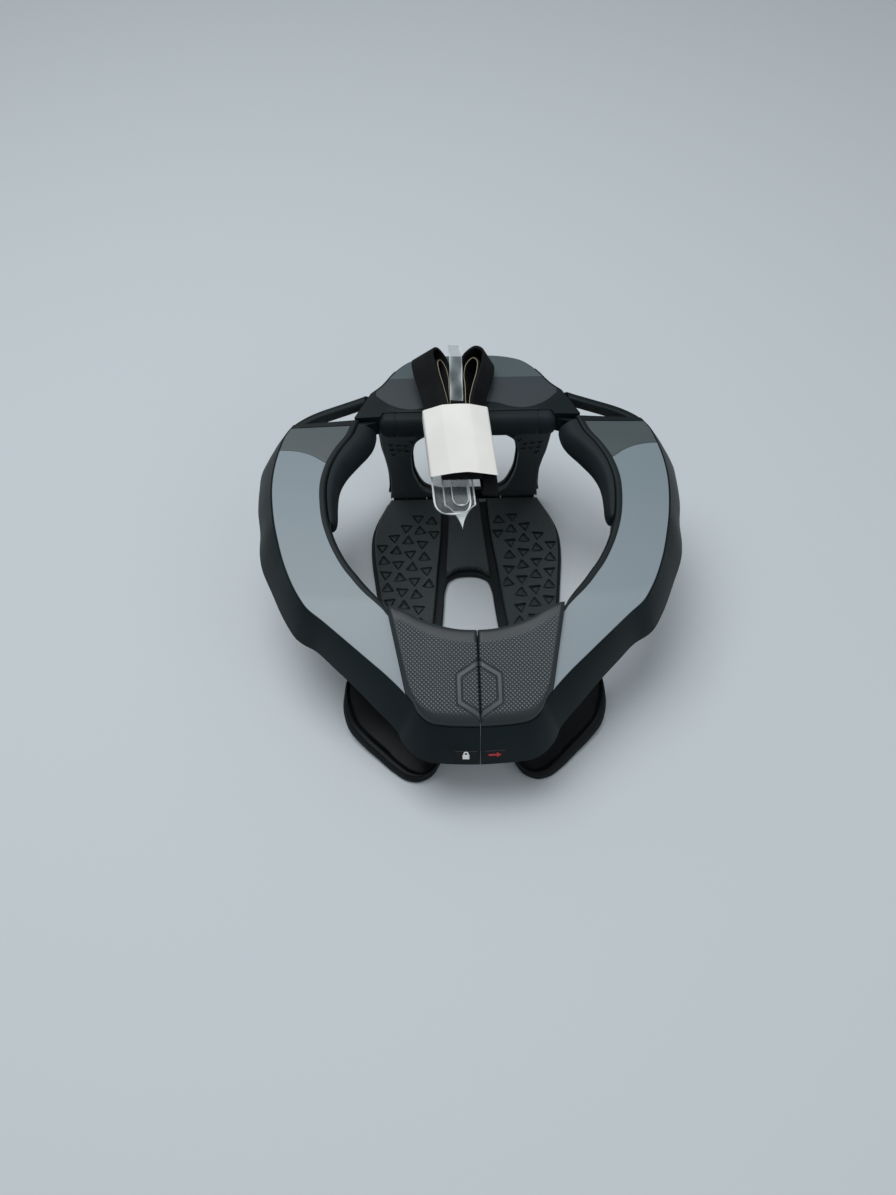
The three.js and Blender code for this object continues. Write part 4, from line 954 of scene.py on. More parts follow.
def chestPadShape():
    sections = []
    for row in steps(0, lastWing, lastWing * 6):
        toEnd = min(row, lastWing - row)
        end = mix(0.72, 1, dome(clamp(toEnd / 0.8)))
        top = wing["wall"] + seam
        thick = wing["padHeight"] * end
        profile = [(-0.03, top), (-0.055, top + 0.7), (-0.07, top + 1.6), (-0.062, top + 2.6),
                   (-0.035, top + 0.86 * thick),
                   (0.02, top + thick), (0.25, top + thick), (0.5, top + thick), (0.75, top + thick),
                   (0.9, top + 0.95 * thick), (0.94, top + 0.6 * thick), (0.96, top + 1), (0.96, top + 0.3),
                   (0.5, top + 0.6)]
        section = [wingPoint(row, share, lower) for share, lower in profile]
        for point in section:
            point.z = max(point.z, 0)
        sections.append(section)
    return loft(sections)


for side, name in sides:
    body = f"arm_{name}"
    arm = [loft([armSection(row) for row in steps(0, lastRow, lastRow * 4)]),
           loft([slotWallSection(row) for row in (0, 0.18, 0.34)]), barShape(), *hingeFoot()]
    makePiece(f"collar_{name}", arm, shellBlack, body, [f"arm_shell_{name}"], side,
              collar["bevel"])
    light = stripShape(borderRow, lambda s: collar["firstPadRow"] - 0.03, 90)
    makePiece(f"panel_light_{name}", [light], panelLight, body, [f"side_panel_{name}"], side,
              collar["panelBevel"], marks={"shade": shadeMarks(light)})
    mid = stripShape(lambda s: 0.38, lambda s: borderRow(s) - 0.005, 20)
    makePiece(f"panel_mid_{name}", [mid], panelMid, body, [f"side_panel_rear_{name}"], side,
              collar["panelBevel"])
    shape, marks = frontPadShape()
    makePiece(f"pad_front_{name}", [shape], padWeave, body, [f"front_pad_{name}"], side,
              sharp=60, marks=marks)
    makePiece(f"roll_{name}", [bolsterShape()], foamBlack, body, [f"bolster_{name}"], side,
              sharp=50)
    makePiece(f"wing_{name}", [wingShape(), wingPost()], wingBlack, body, [f"chest_wing_{name}"],
              side, 0.3)
    makePiece(f"wing_pad_{name}", [chestPadShape()], foamBlack, body, [f"chest_pad_{name}"],
              side, sharp=50)
    corners = [(row, drop) for row, drop in zip(label["rows"] + label["rows"][::-1],
                                                (label["low"], label["low"], labelHigh, labelHigh))]
    makePiece(f"label_plate_{name}", [skirtPlate(corners, 0.05, label["wall"])], printBlack, body,
              [f"label_{name}"], side)
    outlines, size, ink = (arrow, 4.6, printRed) if side > 0 else (padlock, 5.8, printWhite)
    makePiece(f"label_mark_{name}", labelMark(outlines, size), ink, body, [], side)
print("collar arms made")


# the rear table

def tableShape():
    sections = []
    start, drop, lean, rim, wall = table["front"], table["drop"], table["lean"], table["rim"], collar["wall"]
    under = wall + collar["inlay"]
    for x in steps(-table["channelHalfWidth"], table["channelHalfWidth"], 56):
        back = tableBack(x)
        spots = [(start, drop), (start, rim), (start + 0.5, 0.5), (start + rim, 0)]
        spots += [(mix(start + rim, back - rim, s), 0) for s in (0.25, 0.5, 0.75, 1)]
        spots += [(back - 0.5, 0.4), (back, 1.4), (back + lean * 0.5 + 0.4, drop * 0.5),
                  (back + lean, drop), (back + lean - wall, drop), (back - wall, under),
                  (start + wall, under), (start + wall, drop)]
        sections.append([(x, y, topHeight(y) - depth) for y, depth in spots])
    return loft(sections)


def cornerShapes(side):
    # the table's corner over the hinge, the end wall of its channel, and the lug under the knuckle
    inner = table["channelHalfWidth"] - table["lap"]
    edge = [(x, tableBack(x)) for x in steps(table["halfWidth"], inner, 12)]
    outline = [(inner, table["front"]), (59.0, table["front"]), (60.5, coverTip[1] + 0.2),
               (coverTip[0] - 2, coverTip[1] - 0.6), coverTip] + edge
    cover = slab([(side * x, y) for x, y in outline][::side], lambda x, y: topHeight(y) - table["cover"],
                 lambda x, y: topHeight(y) - 0.02)
    x = table["channelHalfWidth"]
    back = tableBack(x)
    low = topHeight(table["front"]) - table["drop"] + 1
    ends = sorted((side * (x - collar["wall"]), side * x))
    wall = block((ends[0], table["front"], low), (ends[1], back, topHeight(table["front"]) - 1))
    lugTop = knuckleTop + hinge["height"] + hinge["gap"]
    reach = hinge["radius"] * 0.9
    nose = [(hinge["x"] + reach * math.cos(a), hinge["y"] + reach * math.sin(a))
            for a in steps(-math.pi / 2, math.pi / 2, 16)]
    lug = [(x - collar["wall"], hinge["y"] - reach)] + nose + [(x - collar["wall"], hinge["y"] + reach)]
    lugLow = lugTop + collar["wall"]
    plate = slab([(side * x, y) for x, y in lug][::side], lambda x, y: hingeHeight(y, lugLow),
                 lambda x, y: hingeHeight(y, lugTop))
    return [cover, wall, plate]


def tableInlay(frontAt, backAt, half, count=80):
    # thin plate on the table between two edges, each a function of x
    sections = []
    for x in steps(-half, half, count):
        first, last = frontAt(x), backAt(x)
        if last - first < 0.4:
            last = first + 0.4
        top = [(x, y, topHeight(y) + table["proud"]) for y in steps(first, last, 8)]
        bottom = [(x, last, topHeight(last) - 0.6), (x, first, topHeight(first) - 0.6)]
        sections.append(top + bottom)
    return loft(sections)


splitY = table["front"] + table["split"] * tableDepth
inset = collar["outerLip"]


def inlayFront(x):
    return edgeBack(inlayEdge, len(table["inlayRows"]), min(abs(x), 0.95 * table["halfWidth"]))


def inlayBack(x):
    return tableBack(min(abs(x) * (1 + inset / table["halfWidth"]), table["halfWidth"])) - inset


lightHalf = next(x for x in steps(40, 62, 220) if inlayBack(x) <= splitY + 0.3)
makePiece("table_shell", [tableShape(), *cornerShapes(1), *cornerShapes(-1)], shellBlack, "rear",
          ["rear_shell"], bevel=0.3)
makePiece("table_light", [tableInlay(lambda x: splitY + 0.08, inlayBack, lightHalf)], tableLight, "rear",
          ["rear_panel_light"], bevel=0.12)
midInlay = tableInlay(inlayFront, lambda x: min(inlayBack(x), splitY), 0.945 * table["halfWidth"], 110)
makePiece("table_mid", [midInlay], tableMid, "rear", ["rear_panel_mid"], bevel=0.12)

barPad = {"depth": 9.0, "halfWidth": 62.0, "height": 19.0, "seam": 50.0, "cap": 5.5, "endShare": 0.4}


def barPadShape():
    sections = []
    half, depth = barPad["halfWidth"], barPad["depth"]
    for x in steps(-half, half, 170):
        toEnd = clamp((half - abs(x)) / barPad["cap"])
        end = mix(barPad["endShare"], 1, dome(toEnd))
        channel = 1 - 0.1 * math.exp(-((abs(x) - barPad["seam"]) / 0.5) ** 2)
        back = seam + depth * 0.5 * (1 - end)
        section = []
        for i in range(21):
            angle = math.pi * i / 20
            forward = back + depth * end * channel * max(math.sin(angle), 0) ** 0.62
            drop = 0.4 + barPad["height"] / 2 * (1 - math.cos(angle) * end * mix(channel, 1, 0.5))
            section.append((x, table["front"] - forward, topHeight(table["front"]) - drop))
        sections.append(section)
    return loft(sections)


makePiece("bar_pad", [barPadShape()], foamBlack, "rear", ["rear_bar_pad"], sharp=50)
for name in ("hinge_pin_right", "hinge_pin_left", "strut_pin_right", "strut_pin_left"):
    pin = frame["nodes"][name].data.materials
    pin.clear()
    pin.append(steel.material)
print("rear table made")


# the back strut

strut = {
    "halfWidth": 74.5,
    "front": -60.0,
    "barrel": 5.0,
    "plate": 4.0,
    "padHeight": 5.7,
    "padMargin": 3.0,
    "padRound": 1.5,
    "earWidth": 11.0,
    "firstSlotRow": 15,
    # half outline: x as a share of the half width, y as a share of the length from the axis forward
    "rows": [
        (0.835, 0.035), (0.875, 0.075), (0.94, 0.14), (0.982, 0.2), (0.998, 0.25), (1, 0.29),
        (0.987, 0.385), (0.96, 0.475), (0.925, 0.585), (0.89, 0.69), (0.84, 0.79), (0.76, 0.89),
        (0.67, 0.96), (0.56, 1), (0.45, 0.985), (0.375, 0.92), (0.325, 0.84), (0.285, 0.74), (0.258, 0.62),
        (0.235, 0.525), (0.2, 0.483), (0.12, 0.46), (0, 0.452),
    ],
    # edges of the groove beside the centre pad: y, inner x, outer x
    "grooves": [
        (0.04, 0.165, 0.24), (0.27, 0.195, 0.268), (0.45, 0.225, 0.31), (0.62, 0.275, 0.345),
        (0.77, 0.31, 0.385), (0.9, 0.37, 0.45),
    ],
}
strutLength = strutAxisY - strut["front"]
innerEar = 0.79 * strut["halfWidth"] - strut["earWidth"] - 1
barrelInner = 0.41 * strut["halfWidth"]
padBack = strutAxisY - strut["barrel"] - hinge["gap"] - 0.4


def strutPoint(x, y):
    return x * strut["halfWidth"], strutAxisY - y * strutLength


def bothHalves(half):
    # closed outline from its right half, which runs from the middle line round to it
    half = [point for point in half if point[0] > 0.01]
    return half + [(-x, y) for x, y in reversed(half)]


def strutPlate():
    curve = curveThrough([strutPoint(x, y) for x, y in strut["rows"]])
    last = len(strut["rows"]) - 1
    half = sampled(curve, last, last * 4)
    back = strutAxisY - strut["barrel"] - hinge["gap"]
    gap = hinge["gap"] / 2
    rear = [(0, back + 0.6), (barrelInner, back + 0.6), (barrelInner, strutAxisY),
            (innerEar - gap, strutAxisY), (innerEar - gap, back), (half[0][0] - 1, back)]
    shapes = [slab(bothHalves(rear + half)[::-1], lambda x, y: 0, lambda x, y: strut["plate"])]
    for side, _ in sides:
        ends = [(side * x, strutAxisY, strutAxisZ) for x in (barrelInner, innerEar - gap)]
        shapes.append(rod(*ends, strut["barrel"]))
    return shapes


def inwards(outline, distance):
    # the outline drawn in along its normals
    size = len(outline)
    area = sum(outline[i - 1][0] * outline[i][1] - outline[i][0] * outline[i - 1][1] for i in range(size))
    turn = 1 if area > 0 else -1
    drawn = []
    for i, (x, y) in enumerate(outline):
        before, after = Vector(outline[i - 1]), Vector(outline[(i + 1) % size])
        a = (Vector((x, y)) - before).normalized()
        b = (after - Vector((x, y))).normalized()
        normal = Vector((-(a.y + b.y), a.x + b.x))
        normal = normal.normalized() * turn
        stretch = 1 / max(math.sqrt((1 + a.dot(b)) / 2), 0.6)
        drawn.append((x + normal.x * distance * stretch, y + normal.y * distance * stretch))
    return drawn


def evenly(outline, spacing):
    # the same closed outline with a point about every so many millimetres
    made = []
    for i, (x, y) in enumerate(outline):
        nextX, nextY = outline[(i + 1) % len(outline)]
        count = max(1, round(math.hypot(nextX - x, nextY - y) / spacing))
        made += [(mix(x, nextX, k / count), mix(y, nextY, k / count)) for k in range(count)]
    return made


def within(point, outline):
    # whether a point is inside a closed outline
    x, y = point
    inside = False
    for i, (bx, by) in enumerate(outline):
        ax, ay = outline[i - 1]
        if (ay > y) != (by > y) and x < (bx - ax) * (y - ay) / (by - ay) + ax:
            inside = not inside
    return inside


def clearance(point, outline):
    # distance from a point to a closed outline
    p = Vector(point)
    best = 1e9
    for i, corner in enumerate(outline):
        a, b = Vector(outline[i - 1]), Vector(corner)
        way = b - a
        share = clamp((p - a).dot(way) / max(way.length_squared, 1e-12))
        best = min(best, (p - a - way * share).length)
    return best


def dimple(x, y, size, turn):
    # triangle with cut corners
    corners = []
    for i in range(3):
        angle = turn + i * 2 * math.pi / 3
        for shift in (-0.13, 0.13):
            corners.append((x + size * math.cos(angle + shift), y + size * math.sin(angle + shift)))
    return corners


def facing(outline, top, rounding, pockets, kind, put):
    # soft pad over an outline with a rounded edge and pockets, put in place by a function
    rings = [(outline, 0.0), (outline, top - rounding)]
    for angle in (25, 50, 75, 90):
        turn = math.radians(angle)
        ring = inwards(outline, rounding * (1 - math.cos(turn)))
        rings.append((ring, top - rounding * (1 - math.sin(turn))))
    size = len(outline)
    points, lay, faces = [], [], []

    def keep(x, y, height):
        points.append(put(x, y, height))
        lay.append((x, y, height))
        return len(points) - 1

    for ring, height in rings:
        for x, y in ring:
            keep(x, y, height)
    for start in range(0, size * (len(rings) - 1), size):
        ring = [(start + i, start + (i + 1) % size) for i in range(size)]
        faces += [(a, b, b + size, a + size) for a, b in ring]
    faces.append(tuple(range(size)))
    inner = rings[-1][0]
    loose = list(inner)
    loops = [list(range(size))]
    for pocket in pockets:
        loops.append(list(range(len(loose), len(loose) + len(pocket))))
        loose += pocket
    grid, depth = kind["grid"], kind["depth"]
    xs, ys = zip(*inner)
    columns, lines = (steps(min(v), max(v), max(1, round((max(v) - min(v)) / grid))) for v in (xs, ys))
    for spot in product(columns, lines):
        free = within(spot, inner) and clearance(spot, inner) >= grid * 0.4
        if free and not any(within(spot, p) or clearance(spot, p) < grid * 0.3 for p in pockets):
            loose.append(spot)
    made, _, cells, _, _, owners = delaunay_2d_cdt([Vector(p) for p in loose], [], loops, 1, 1e-6)
    start = len(points)
    for x, y in made:
        keep(x, y, top)
    for cell, owner in zip(cells, owners):
        if not any(o > 0 for o in owner):
            faces.append(tuple(start + i for i in cell))
    for pocket in pockets:
        # steep wall, a moat, and a lower triangle standing in it
        pairs = [(i, (i + 1) % len(pocket)) for i in range(len(pocket))]
        reach = max(math.dist(corner, pocket[3]) for corner in pocket)
        levels = [(0, 0), (0.035, 1), (0.13, 1), (0.165, 0.5)]
        loops = [[keep(x, y, top - depth * sunk) for x, y in inwards(pocket, reach * drawn)]
                 for drawn, sunk in levels]
        for above, below in zip(loops, loops[1:]):
            faces += [(above[i], above[j], below[j], below[i]) for i, j in pairs]
        faces.append(tuple(loops[-1]))
    return {"points": points, "faces": faces, "lay": lay}


dimples = {
    "clear": 1.1,
    "sway": 0.1,
    # span and pitch in millimetres, shear of the rows, and spacing of the mesh between the triangles
    "large": {"span": (-38, 86), "pitch": (10.9, 12.4), "slope": 0.3, "size": 5.3, "depth": 1.7,
              "grid": 6.0},
    "small": {"span": (62, 94), "pitch": (5.6, 5.6 * 1.15), "slope": 0.2, "size": 2.4, "depth": 1.1,
              "grid": 4.0},
}
spacing = 3.0  # of the points along a facing's outline


def dimplesOver(outline, kind):
    # triangles on a sheared grid, point up and point down by turns, kept inside the outline
    (lowY, highY), (pitchX, pitchY), size = kind["span"], kind["pitch"], kind["size"]
    found = []
    for j in range(-16, 17):
        for i in range(0, 12):
            x = (i + 0.62) * pitchX + 0.12 * pitchY * j
            y = j * pitchY + kind["slope"] * x
            high = highY - 2.2 * pitchY * clamp((i - 3) / 2)  # the outer columns stop sooner
            if not lowY < y < high or not within((x, y), outline):
                continue
            if clearance((x, y), outline) < size * 0.72 + dimples["clear"]:
                continue
            turn = math.radians(90 if (i + j) % 2 else -90) + dimples["sway"] * ((i * 2 + j) % 3 - 1)
            found.append(dimple(x, y, size, turn))
    return found


def strutTop(x, y, height):
    return x, y, strut["plate"] + seam + height


def sidePad():
    last = strut["firstSlotRow"] - 1
    curve = curveThrough([strutPoint(x, y) for x, y in strut["rows"][:last]])
    edge = []
    for row in steps(0, last - 1, (last - 1) * 4):
        x, y = curve(row)
        along = (strutAxisY - y) / strutLength
        drawn = mix(1, 0.955, clamp((along - 0.82) / 0.14))
        edge.append((x - strut["padMargin"], strutAxisY - (strutAxisY - y) * drawn))
    edge[0] = (edge[0][0], padBack)
    groove = curveThrough([strutPoint(outer, y) for y, _, outer in strut["grooves"]])
    inner = sampled(groove, 5, 30)
    inner[0] = (inner[0][0], padBack)
    outline = evenly((edge + inner[::-1])[::-1], spacing)
    large = dimples["large"]
    pockets = dimplesOver(outline, large)
    return facing(outline, strut["padHeight"], strut["padRound"], pockets, large, strutTop)


def centrePad():
    curve = curveThrough([strutPoint(inner, y) for y, inner, _ in strut["grooves"][:3]])
    groove = sampled(curve, 2, 16)
    groove[0] = (groove[0][0], padBack)
    rows = [strutPoint(x, y) for x, y in strut["rows"][-3:]]
    rows = [(x, y + strut["padMargin"]) for x, y in rows]
    tips = sampled(curveThrough(rows + [(-rows[1][0], rows[1][1])]), 2, 10)
    groove[-1] = (groove[-1][0], tips[0][1] - 1.5)
    outline = evenly(bothHalves(groove + tips)[::-1], spacing)
    return facing(outline, strut["padHeight"], strut["padRound"], [], dimples["large"], strutTop)


makePiece("strut_plate", strutPlate(), shellDeep, "strut", ["strut_lower"], bevel=0.8)
for side, name in sides:
    makePiece(f"strut_face_{name}", [sidePad()], strutSkin, "strut", [f"strut_pad_{name}"],
              side, 0.25)
makePiece("strut_face_centre", [centrePad()], strutSkin, "strut", ["strut_pad_centre"])

column = {
    "wall": 3.5,
    "pad": 5.0,
    "height": 98.0,
    "reach": 12.0,
    "margin": 1.6,
    "foot": 2.2,
    "apron": {"half": 30.0, "low": 0.9, "high": 13.0},
    "bridge": {"place": 0.95, "half": 4.1},
    "padTop": 0.985,
    "padRound": 0.8,
    # height, outer half width, hole half width, place of the pad's face forward
    "rows": [
        (0.118, 0.818, 0.2, 0.43), (0.18, 0.806, 0.42, 0.27), (0.3, 0.806, 0.5, 0.13),
        (0.5, 0.83, 0.53, 0.28), (0.65, 0.855, 0.52, 0.5), (0.8, 0.865, 0.46, 0.73), (0.9, 0.87, 0.3, 0.87),
        (1, 0.87, 0.05, 1),
    ],
}
columnCurve = scaledCurve(column["rows"], column["height"], strut["halfWidth"], strut["halfWidth"],
                          column["reach"])
lastColumn = len(column["rows"]) - 1
columnRows = steps(0, lastColumn, 56)
behindPad = column["pad"] + seam


def columnFace(z):
    row = lastWhere(0.0, lastColumn, lambda row: columnCurve(row)[0] < z)
    return strutAxisY - columnCurve(row)[3]


def columnShape():
    sections = []
    for row in columnRows:
        z, out, hole, forward = columnCurve(row)
        y = strutAxisY - forward + behindPad
        back = y + column["wall"]
        sections.append([(hole, y, z), (out, y, z), (out, back, z), (hole, back, z)])
    return loft(sections)


def upperShapes():
    wall, barrel = column["wall"], strut["barrel"]
    right = columnShape()
    left = dict(right, points=[(-x, y, z) for x, y, z in right["points"]],
                faces=[face[::-1] for face in right["faces"]])
    bridgeZ, tall = column["bridge"]["place"] * column["height"], column["bridge"]["half"]
    bridgeY = columnFace(bridgeZ) + behindPad
    half = 0.15 * strut["halfWidth"]
    bridge = block((-half, bridgeY + 0.1, bridgeZ - tall), (half, bridgeY + wall - 0.1, bridgeZ + tall))
    apron = column["apron"]
    shapes = [right, left, bridge, block((-apron["half"], strutAxisY + 0.2, apron["low"]),
                                         (apron["half"], strutAxisY + 3.7, apron["high"]))]
    footZ = column["rows"][0][0] * column["height"]
    neckY = columnFace(footZ) + behindPad
    topY = columnFace(column["height"]) + behindPad + 0.5
    top = topHeight(topY) - collar["inlay"] - collar["wall"] - 0.6
    inside = table["channelHalfWidth"] - collar["wall"] - 2
    earInner = innerEar + hinge["gap"] / 2
    for side, _ in sides:
        ear = [side * earInner, side * (earInner + strut["earWidth"] - 1)]
        shapes.append(rod(*[(x, strutAxisY, strutAxisZ) for x in ear], barrel))
        low, high = sorted(ear)
        shapes.append(block((low, neckY + 0.3, strutAxisZ), (high, neckY + wall, footZ + 0.5)))
        low, high = sorted((side * 0.5 * strut["halfWidth"], side * inside))
        shapes.append(block((low, topY, column["height"] - 2.5), (high, topY + wall, top)))
    return shapes


def columnPadShape():
    edge, hole = [], []
    highest = column["padTop"] * column["height"]
    for row in columnRows:
        z, out, inner, _ = columnCurve(row)
        z = z if row < lastColumn else highest
        if z > highest:
            continue
        if row == 0:
            z += 0.6
        edge.append((out - column["margin"], z))
        hole.append((max(inner, 0.24 * strut["halfWidth"]) + column["margin"], z))
    outline = evenly(edge + hole[::-1], spacing)

    def put(x, z, height):
        # the foot of the pad's face hangs down over the fold
        drop = column["foot"] * clamp(height / column["pad"]) * clamp((15 - z) / 3)
        return x, columnFace(z) + column["pad"] - height, z - drop

    small = dimples["small"]
    return facing(outline, column["pad"], column["padRound"], dimplesOver(outline, small), small, put)


makePiece("columns", upperShapes(), shellDeep, "rear", ["strut_upper"], bevel=0.5)
for side, name in sides:
    makePiece(f"column_face_{name}", [columnPadShape()], strutSkin, "rear", [f"strut_upper_pad_{name}"],
              side, 0.15)
print("strut made")


# the folded straps and the paper band

bundle = {
    "slope": 12.0,
    "backY": 80.0,
    "x": -7.0,
    "width": 49.0,
    "length": 52.0,
    "height": 24.0,
    "wall": 0.5,
    "paper": (-5.0, -58.5),
    "narrow": 0.95,
    "shift": -3.0,
    "undercut": 0.24,
    "turn": 5.0,
    "crease": 1.6,
    # section of the paper band, across and up as shares of its half width and half height
    "band": [
        (0.96, 0.62), (0.42, 1.0), (0.1, 1.03), (-0.36, 0.98), (-0.93, 0.42), (-0.94, -0.7), (-0.72, -1.0),
        (0.7, -1.0), (0.96, -0.66),
    ],
    "webbingWidth": 20.0,
    "webbing": 1.8,
    "clear": 1.0,
    "loopLength": 47.0,
    "loopHeight": 17.0,
    # teardrop of a loop: along and to the side, as shares of the loop's length and height
    "loop": [
        (-0.85, 0.17), (0.05, 0.17), (0.35, 0.3), (0.7, 0.48), (0.9, 0.42), (1, 0.05), (0.9, -0.38),
        (0.7, -0.48), (0.35, -0.28), (0.05, -0.15), (-0.85, -0.15),
    ],
}
slope = math.radians(bundle["slope"])
bundleBack = Vector((0, math.cos(slope), math.sin(slope)))
bundleUp = Vector((0, -bundleBack.z, bundleBack.y))
bundleHeart = Vector((bundle["x"], bundle["backY"], topHeight(table["front"]) + bundle["height"] / 2 + 0.8))


def bundlePoint(across, along, up):
    # the band's front end is turned a little to the right
    turned = max(-along, 0) * math.tan(math.radians(bundle["turn"]))
    return bundleHeart + Vector((across + turned, 0, 0)) + bundleBack * along + bundleUp * up


def bandLoop(drawn):
    # folded paper: flat facets joined by tight creases
    wide, tall = bundle["width"] * bundle["narrow"], bundle["height"]
    corners = [(x * wide / 2, z * tall / 2) for x, z in bundle["band"]]
    corners = [Vector(corner) for corner in inwards(corners, drawn)]
    loop = []
    for i, here in enumerate(corners):
        before, after = corners[i - 1], corners[(i + 1) % len(corners)]
        first = here + (before - here).normalized() * bundle["crease"]
        last = here + (after - here).normalized() * bundle["crease"]
        for share in steps(0, 1, 4):
            loop.append(tuple(first.lerp(here, share).lerp(here.lerp(last, share), share)))
    return loop


def shorter(z):
    # the lower face ends before the upper one
    return 1 - bundle["undercut"] * clamp(0.5 - z / bundle["height"])


def paperShape():
    sections = []
    order = steps(*bundle["paper"], 20)
    for drawn, order in ((0.0, order), (bundle["wall"], order[::-1])):
        loop = bandLoop(drawn)
        for along in order:
            section = []
            for x, z in loop:
                # the mouths bow in a little and the faces are not quite flat
                drawnIn = along * (1 - 0.03 * math.cos(x / 9)) * shorter(z)
                raised = z + 0.25 * math.sin(along / 9 + x / 14)
                section.append(bundlePoint(x + bundle["shift"], drawnIn, raised))
            sections.append(section)
    shape = loft(sections, caps=False)
    size = len(sections[0])
    last = (len(sections) - 1) * size
    shape["faces"] += [(last + i, last + (i + 1) % size, (i + 1) % size, i) for i in range(size)]
    return shape


def ribbonShape(route, width, wall, roll, middle, count):
    # strap with thickness along a route of (along, up), rolled about the bundle's length
    turn = math.radians(roll)
    last = len(route) - 1
    sections = []
    points = [Vector(p) for p in route]
    near, far = steps(-0.97, 0.97, count), steps(0.97, -0.97, count)
    ring = [(-1, s) for s in near] + [(0, 1)] + [(1, s) for s in far] + [(0, -1)]
    for i, point in enumerate(points):
        run = (points[min(i + 1, last)] - points[max(i - 1, 0)]).normalized()
        side = Vector((-run.y, run.x)) * (wall / 2)
        across, up = middle(point.x)
        section = []
        for sign, half in ring:
            flat = point + side * sign
            reach = half * width / 2
            x = across + reach * math.cos(turn) + flat.y * math.sin(turn)
            z = up - reach * math.sin(turn) + flat.y * math.cos(turn)
            section.append(bundlePoint(x, flat.x, z))
        sections.append(section)
    return loft(sections)


makePiece("paper_band", [paperShape()], paper, "rear", ["paper_sleeve"], sharp=50)
loopSizes = (bundle["loopLength"], bundle["loopHeight"])
loopRoute = sampled(scaledCurve(bundle["loop"], *loopSizes), len(bundle["loop"]) - 1, 110)
# name, roll, place across at the band and at the loop's end, height there, and the side of the thread
loopPlaces = [("left", -42, -0.66, -0.95, -0.22, 1), ("right", 66, 0.5, 0.8, -0.25, -1)]
layers = {"inner": 0.8, "thread": 0.32, "narrow": 0.62}


def loopMiddle(across, farAcross, farUp, along):
    share = max(along, 0) / bundle["loopLength"]
    return mix(across, farAcross, share) * bundle["webbingWidth"], farUp * bundle["webbingWidth"] * share


def innerRoute(size, narrow):
    return [(a * size if a > 0 else a * 0.94, u * narrow) for a, u in loopRoute]


def strap(name, routes, finish, nodes, sharp=60, marks=None):
    # each route with its width, wall, roll, middle line and count of facets
    makePiece(name, [ribbonShape(*route) for route in routes], finish, "rear", nodes, sharp=sharp,
              marks=marks)


for name, roll, across, farAcross, farUp, threadSide in loopPlaces:
    width, wall = bundle["webbingWidth"], bundle["webbing"]
    lead = partial(loopMiddle, across, farAcross, farUp)
    inner = innerRoute(layers["inner"], layers["narrow"])
    strap(f"webbing_{name}", [(loopRoute, width, wall, roll, lead, 14),
                              (inner, width * 0.96, wall * 0.8, roll, lead, 14)],
          webbingBlack, [f"strap_loop_{name}"])

    def edgeMiddle(along):
        x, up = lead(along)
        turn = math.radians(roll)
        reach = threadSide * (width * 0.48 + 0.1)
        return x + reach * math.cos(turn), up - reach * math.sin(turn)

    thread = innerRoute(layers["inner"] * 0.985, 0.58)
    strap(f"webbing_edge_{name}", [(thread, layers["thread"], layers["thread"], roll, edgeMiddle, 2)],
          threadCream, [])

# straps folded small inside the band, seen in its lower mouth
pack = {"width": 27.0, "across": -3.5, "up": 0.2, "wall": 1.8, "folds": [(4.4, 54.0), (2.0, 49.0)],
        "start": 14.0}
folds = []
for half, reach in pack["folds"]:
    bend = [(0.3 * half - reach, 0.72 * half), (half - reach, half), (-pack["start"], half)]
    bend = bend[::-1] + [(-reach, 0)] + [(a, -u) for a, u in bend]
    folds.append((sampled(curveThrough(bend), 6, 60), pack["width"], pack["wall"], 0,
                  lambda a: (pack["across"], pack["up"]), 10))
strap("webbing_pack", folds, webbingBlack, [])

endRows = [(-0.9, 0), (-1.05, -0.01), (-1.17, -0.05), (-1.23, -0.14), (-1.17, -0.22), (-1.0, -0.24),
           (-0.9, -0.22)]
endRoute = sampled(scaledCurve(endRows, bundle["length"], bundle["height"]), 6, 48)
endPlace = (bundle["width"] * 0.3, -bundle["height"] * 0.12)
strap("webbing_end", [(endRoute, 10, 1.6, 14, lambda a: endPlace, 8)], webbingBlack, ["strap_end"])

film = {
    "width": 9,
    "wall": 0.5,
    "rim": 9.3,
    "rows": [
        (0.02, 0), (0.3, 0.03), (0.6, 0.09), (0.85, 0.06), (1, -0.09),
    ],
}
filmPlace = (-0.02 * bundle["width"], bundle["height"] * 0.3)
filmRoute = [(a, u + 0.4 * math.sin(a / 3.7) + 0.2 * math.sin(a / 1.9 + 1))
             for a, u in sampled(scaledCurve(film["rows"], *loopSizes), 4, 90)]
filmStrip = (filmRoute, film["width"], film["wall"], 8, lambda a: filmPlace, 8)
# painted highlight: whiter at the rims, with slow creases
filmEdge = []
for along, across, _ in ribbonShape(*filmStrip)["lay"]:
    middle = abs(math.sin(math.pi * across / film["rim"])) ** 0.4
    filmEdge.append(0.85 - 0.45 * middle + 0.12 * math.sin(along / 4.1 + across / 3))
strap("film_loop", [filmStrip], clear, ["clear_loop"], marks={"edge": filmEdge})

tongues = {
    "clear_nib": {"across": -6.5, "width": 21, "reach": 30, "layer": 0, "droop": 8, "tip": 15, "power": 0.72},
    "clear_tab": {"across": -11.5, "width": 25, "reach": 22, "layer": 1, "droop": 3, "tip": 10, "power": 2.6},
    "clear_tab_inner": {"across": -6, "width": 11, "reach": 17, "layer": 2, "droop": 1.5, "tip": 5.5,
                        "power": 2.2},
}


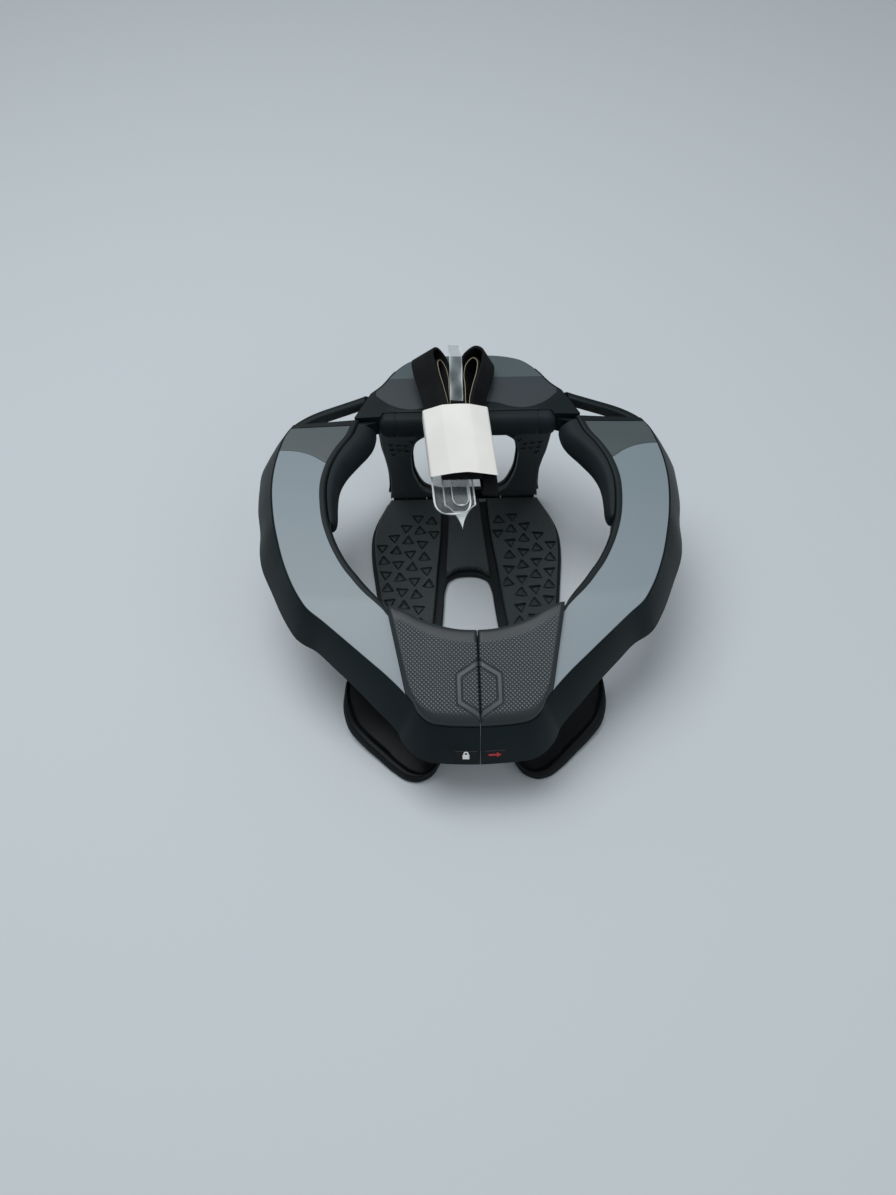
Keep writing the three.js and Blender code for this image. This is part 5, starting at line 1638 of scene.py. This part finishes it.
def tongueShape(sizes):
    # flat tongue of clear plastic with a bead round its edge, drooping past the band
    lip = bundle["length"] + 1
    wall = bundle["clear"]
    floor = 1 - bundle["height"] / 2 + seam + sizes["layer"] * (wall + seam)
    sections, edge = [], []
    taper = lip + sizes["reach"] - sizes["tip"]
    stations = [(along, 1.0) for along in steps(bundle["length"] * 0.86, taper, 14)]
    stations += [(taper + sizes["tip"] * s, (1 - s ** sizes["power"]) ** (1 / sizes["power"]))
                 for s in [math.sin(math.pi / 2 * k / 16) for k in range(1, 16)] + [0.998]]
    for along, wide in stations:
        low = floor - sizes["droop"] * (max(along - lip, 0) / sizes["reach"]) ** 2
        half = sizes["width"] / 2 * wide
        section = []
        for up, order in ((0, steps(-1, 1, 28)), (wall, steps(1, -1, 28))):
            for s in order:
                rim = abs(s) > 0.92
                bead = 0.5 if rim and up else 0
                section.append(bundlePoint(sizes["across"] + s * half, -along, low + up + bead))
                # painted highlight: the rim and the narrow tip are marked for the whiter finish
                edge.append(1.0 if rim or wide < 0.55 else 0.0)
        sections.append(section)
    return loft(sections), {"edge": edge}


for node, sizes in tongues.items():
    shape, marks = tongueShape(sizes)
    makePiece(node.replace("clear", "film"), [shape], clear, "rear", [node], sharp=50,
              marks=marks)
print("straps made")


# floor, light and camera

stage = {
    "floor": tone(186, 194, 199),
    "half": 3.0,
    "level": -0.0002,
    "sky": (0.93, 0.97, 1.0, 1),
    "strength": 0.38,
    "aim": (0, 0, 0.08),
    "lamps": {
        "main": {"at": (-0.35, 0.2, 1.65), "size": 1.1, "watts": 20.5},
        "fill": {"at": (0.9, -0.7, 1.1), "size": 1.2, "watts": 3},
    },
}


def toScene(name, data):
    thing = bpy.data.objects.new(name, data)
    scene.collection.objects.link(thing)
    return thing


floorMesh = bpy.data.meshes.new("floor")
half, level = stage["half"], stage["level"]
corners = ((-half, -half), (half, -half), (half, half), (-half, half))
floorMesh.from_pydata([(x, y, level) for x, y in corners], [], [(0, 1, 2, 3)])
floorMesh.materials.append(Finish("floorPale", stage["floor"], 0.75).material)
toScene("floor", floorMesh)

sky = bpy.data.worlds.new("sky")
scene.world = sky
scene.view_settings.view_transform = "Standard"
sky.use_nodes = True
background = sky.node_tree.nodes["Background"].inputs
background[0].default_value = stage["sky"]
background[1].default_value = stage["strength"]

for name, lamp in stage["lamps"].items():
    light = bpy.data.lights.new(name, "AREA")
    light.size = lamp["size"]
    light.energy = lamp["watts"]
    holder = toScene(name, light)
    holder.location = lamp["at"]
    holder.rotation_euler = (Vector(stage["aim"]) - holder.location).to_track_quat("-Z", "Y").to_euler()

lens = {"place": (-27.06, -366.95, 567.53), "way": (0.0166, 0.5590, -0.8290), "millimetres": 27.0,
        "sensor": 36.0}
camera = bpy.data.cameras.new("camera")
camera.sensor_fit = "VERTICAL"
camera.sensor_height = lens["sensor"]
camera.lens = lens["millimetres"]
eye = toScene("camera", camera)
eye.location = place(*lens["place"])
eye.rotation_euler = Vector(lens["way"]).to_track_quat("-Z", "Y").to_euler()
scene.camera = eye
print("floor, light and camera placed")
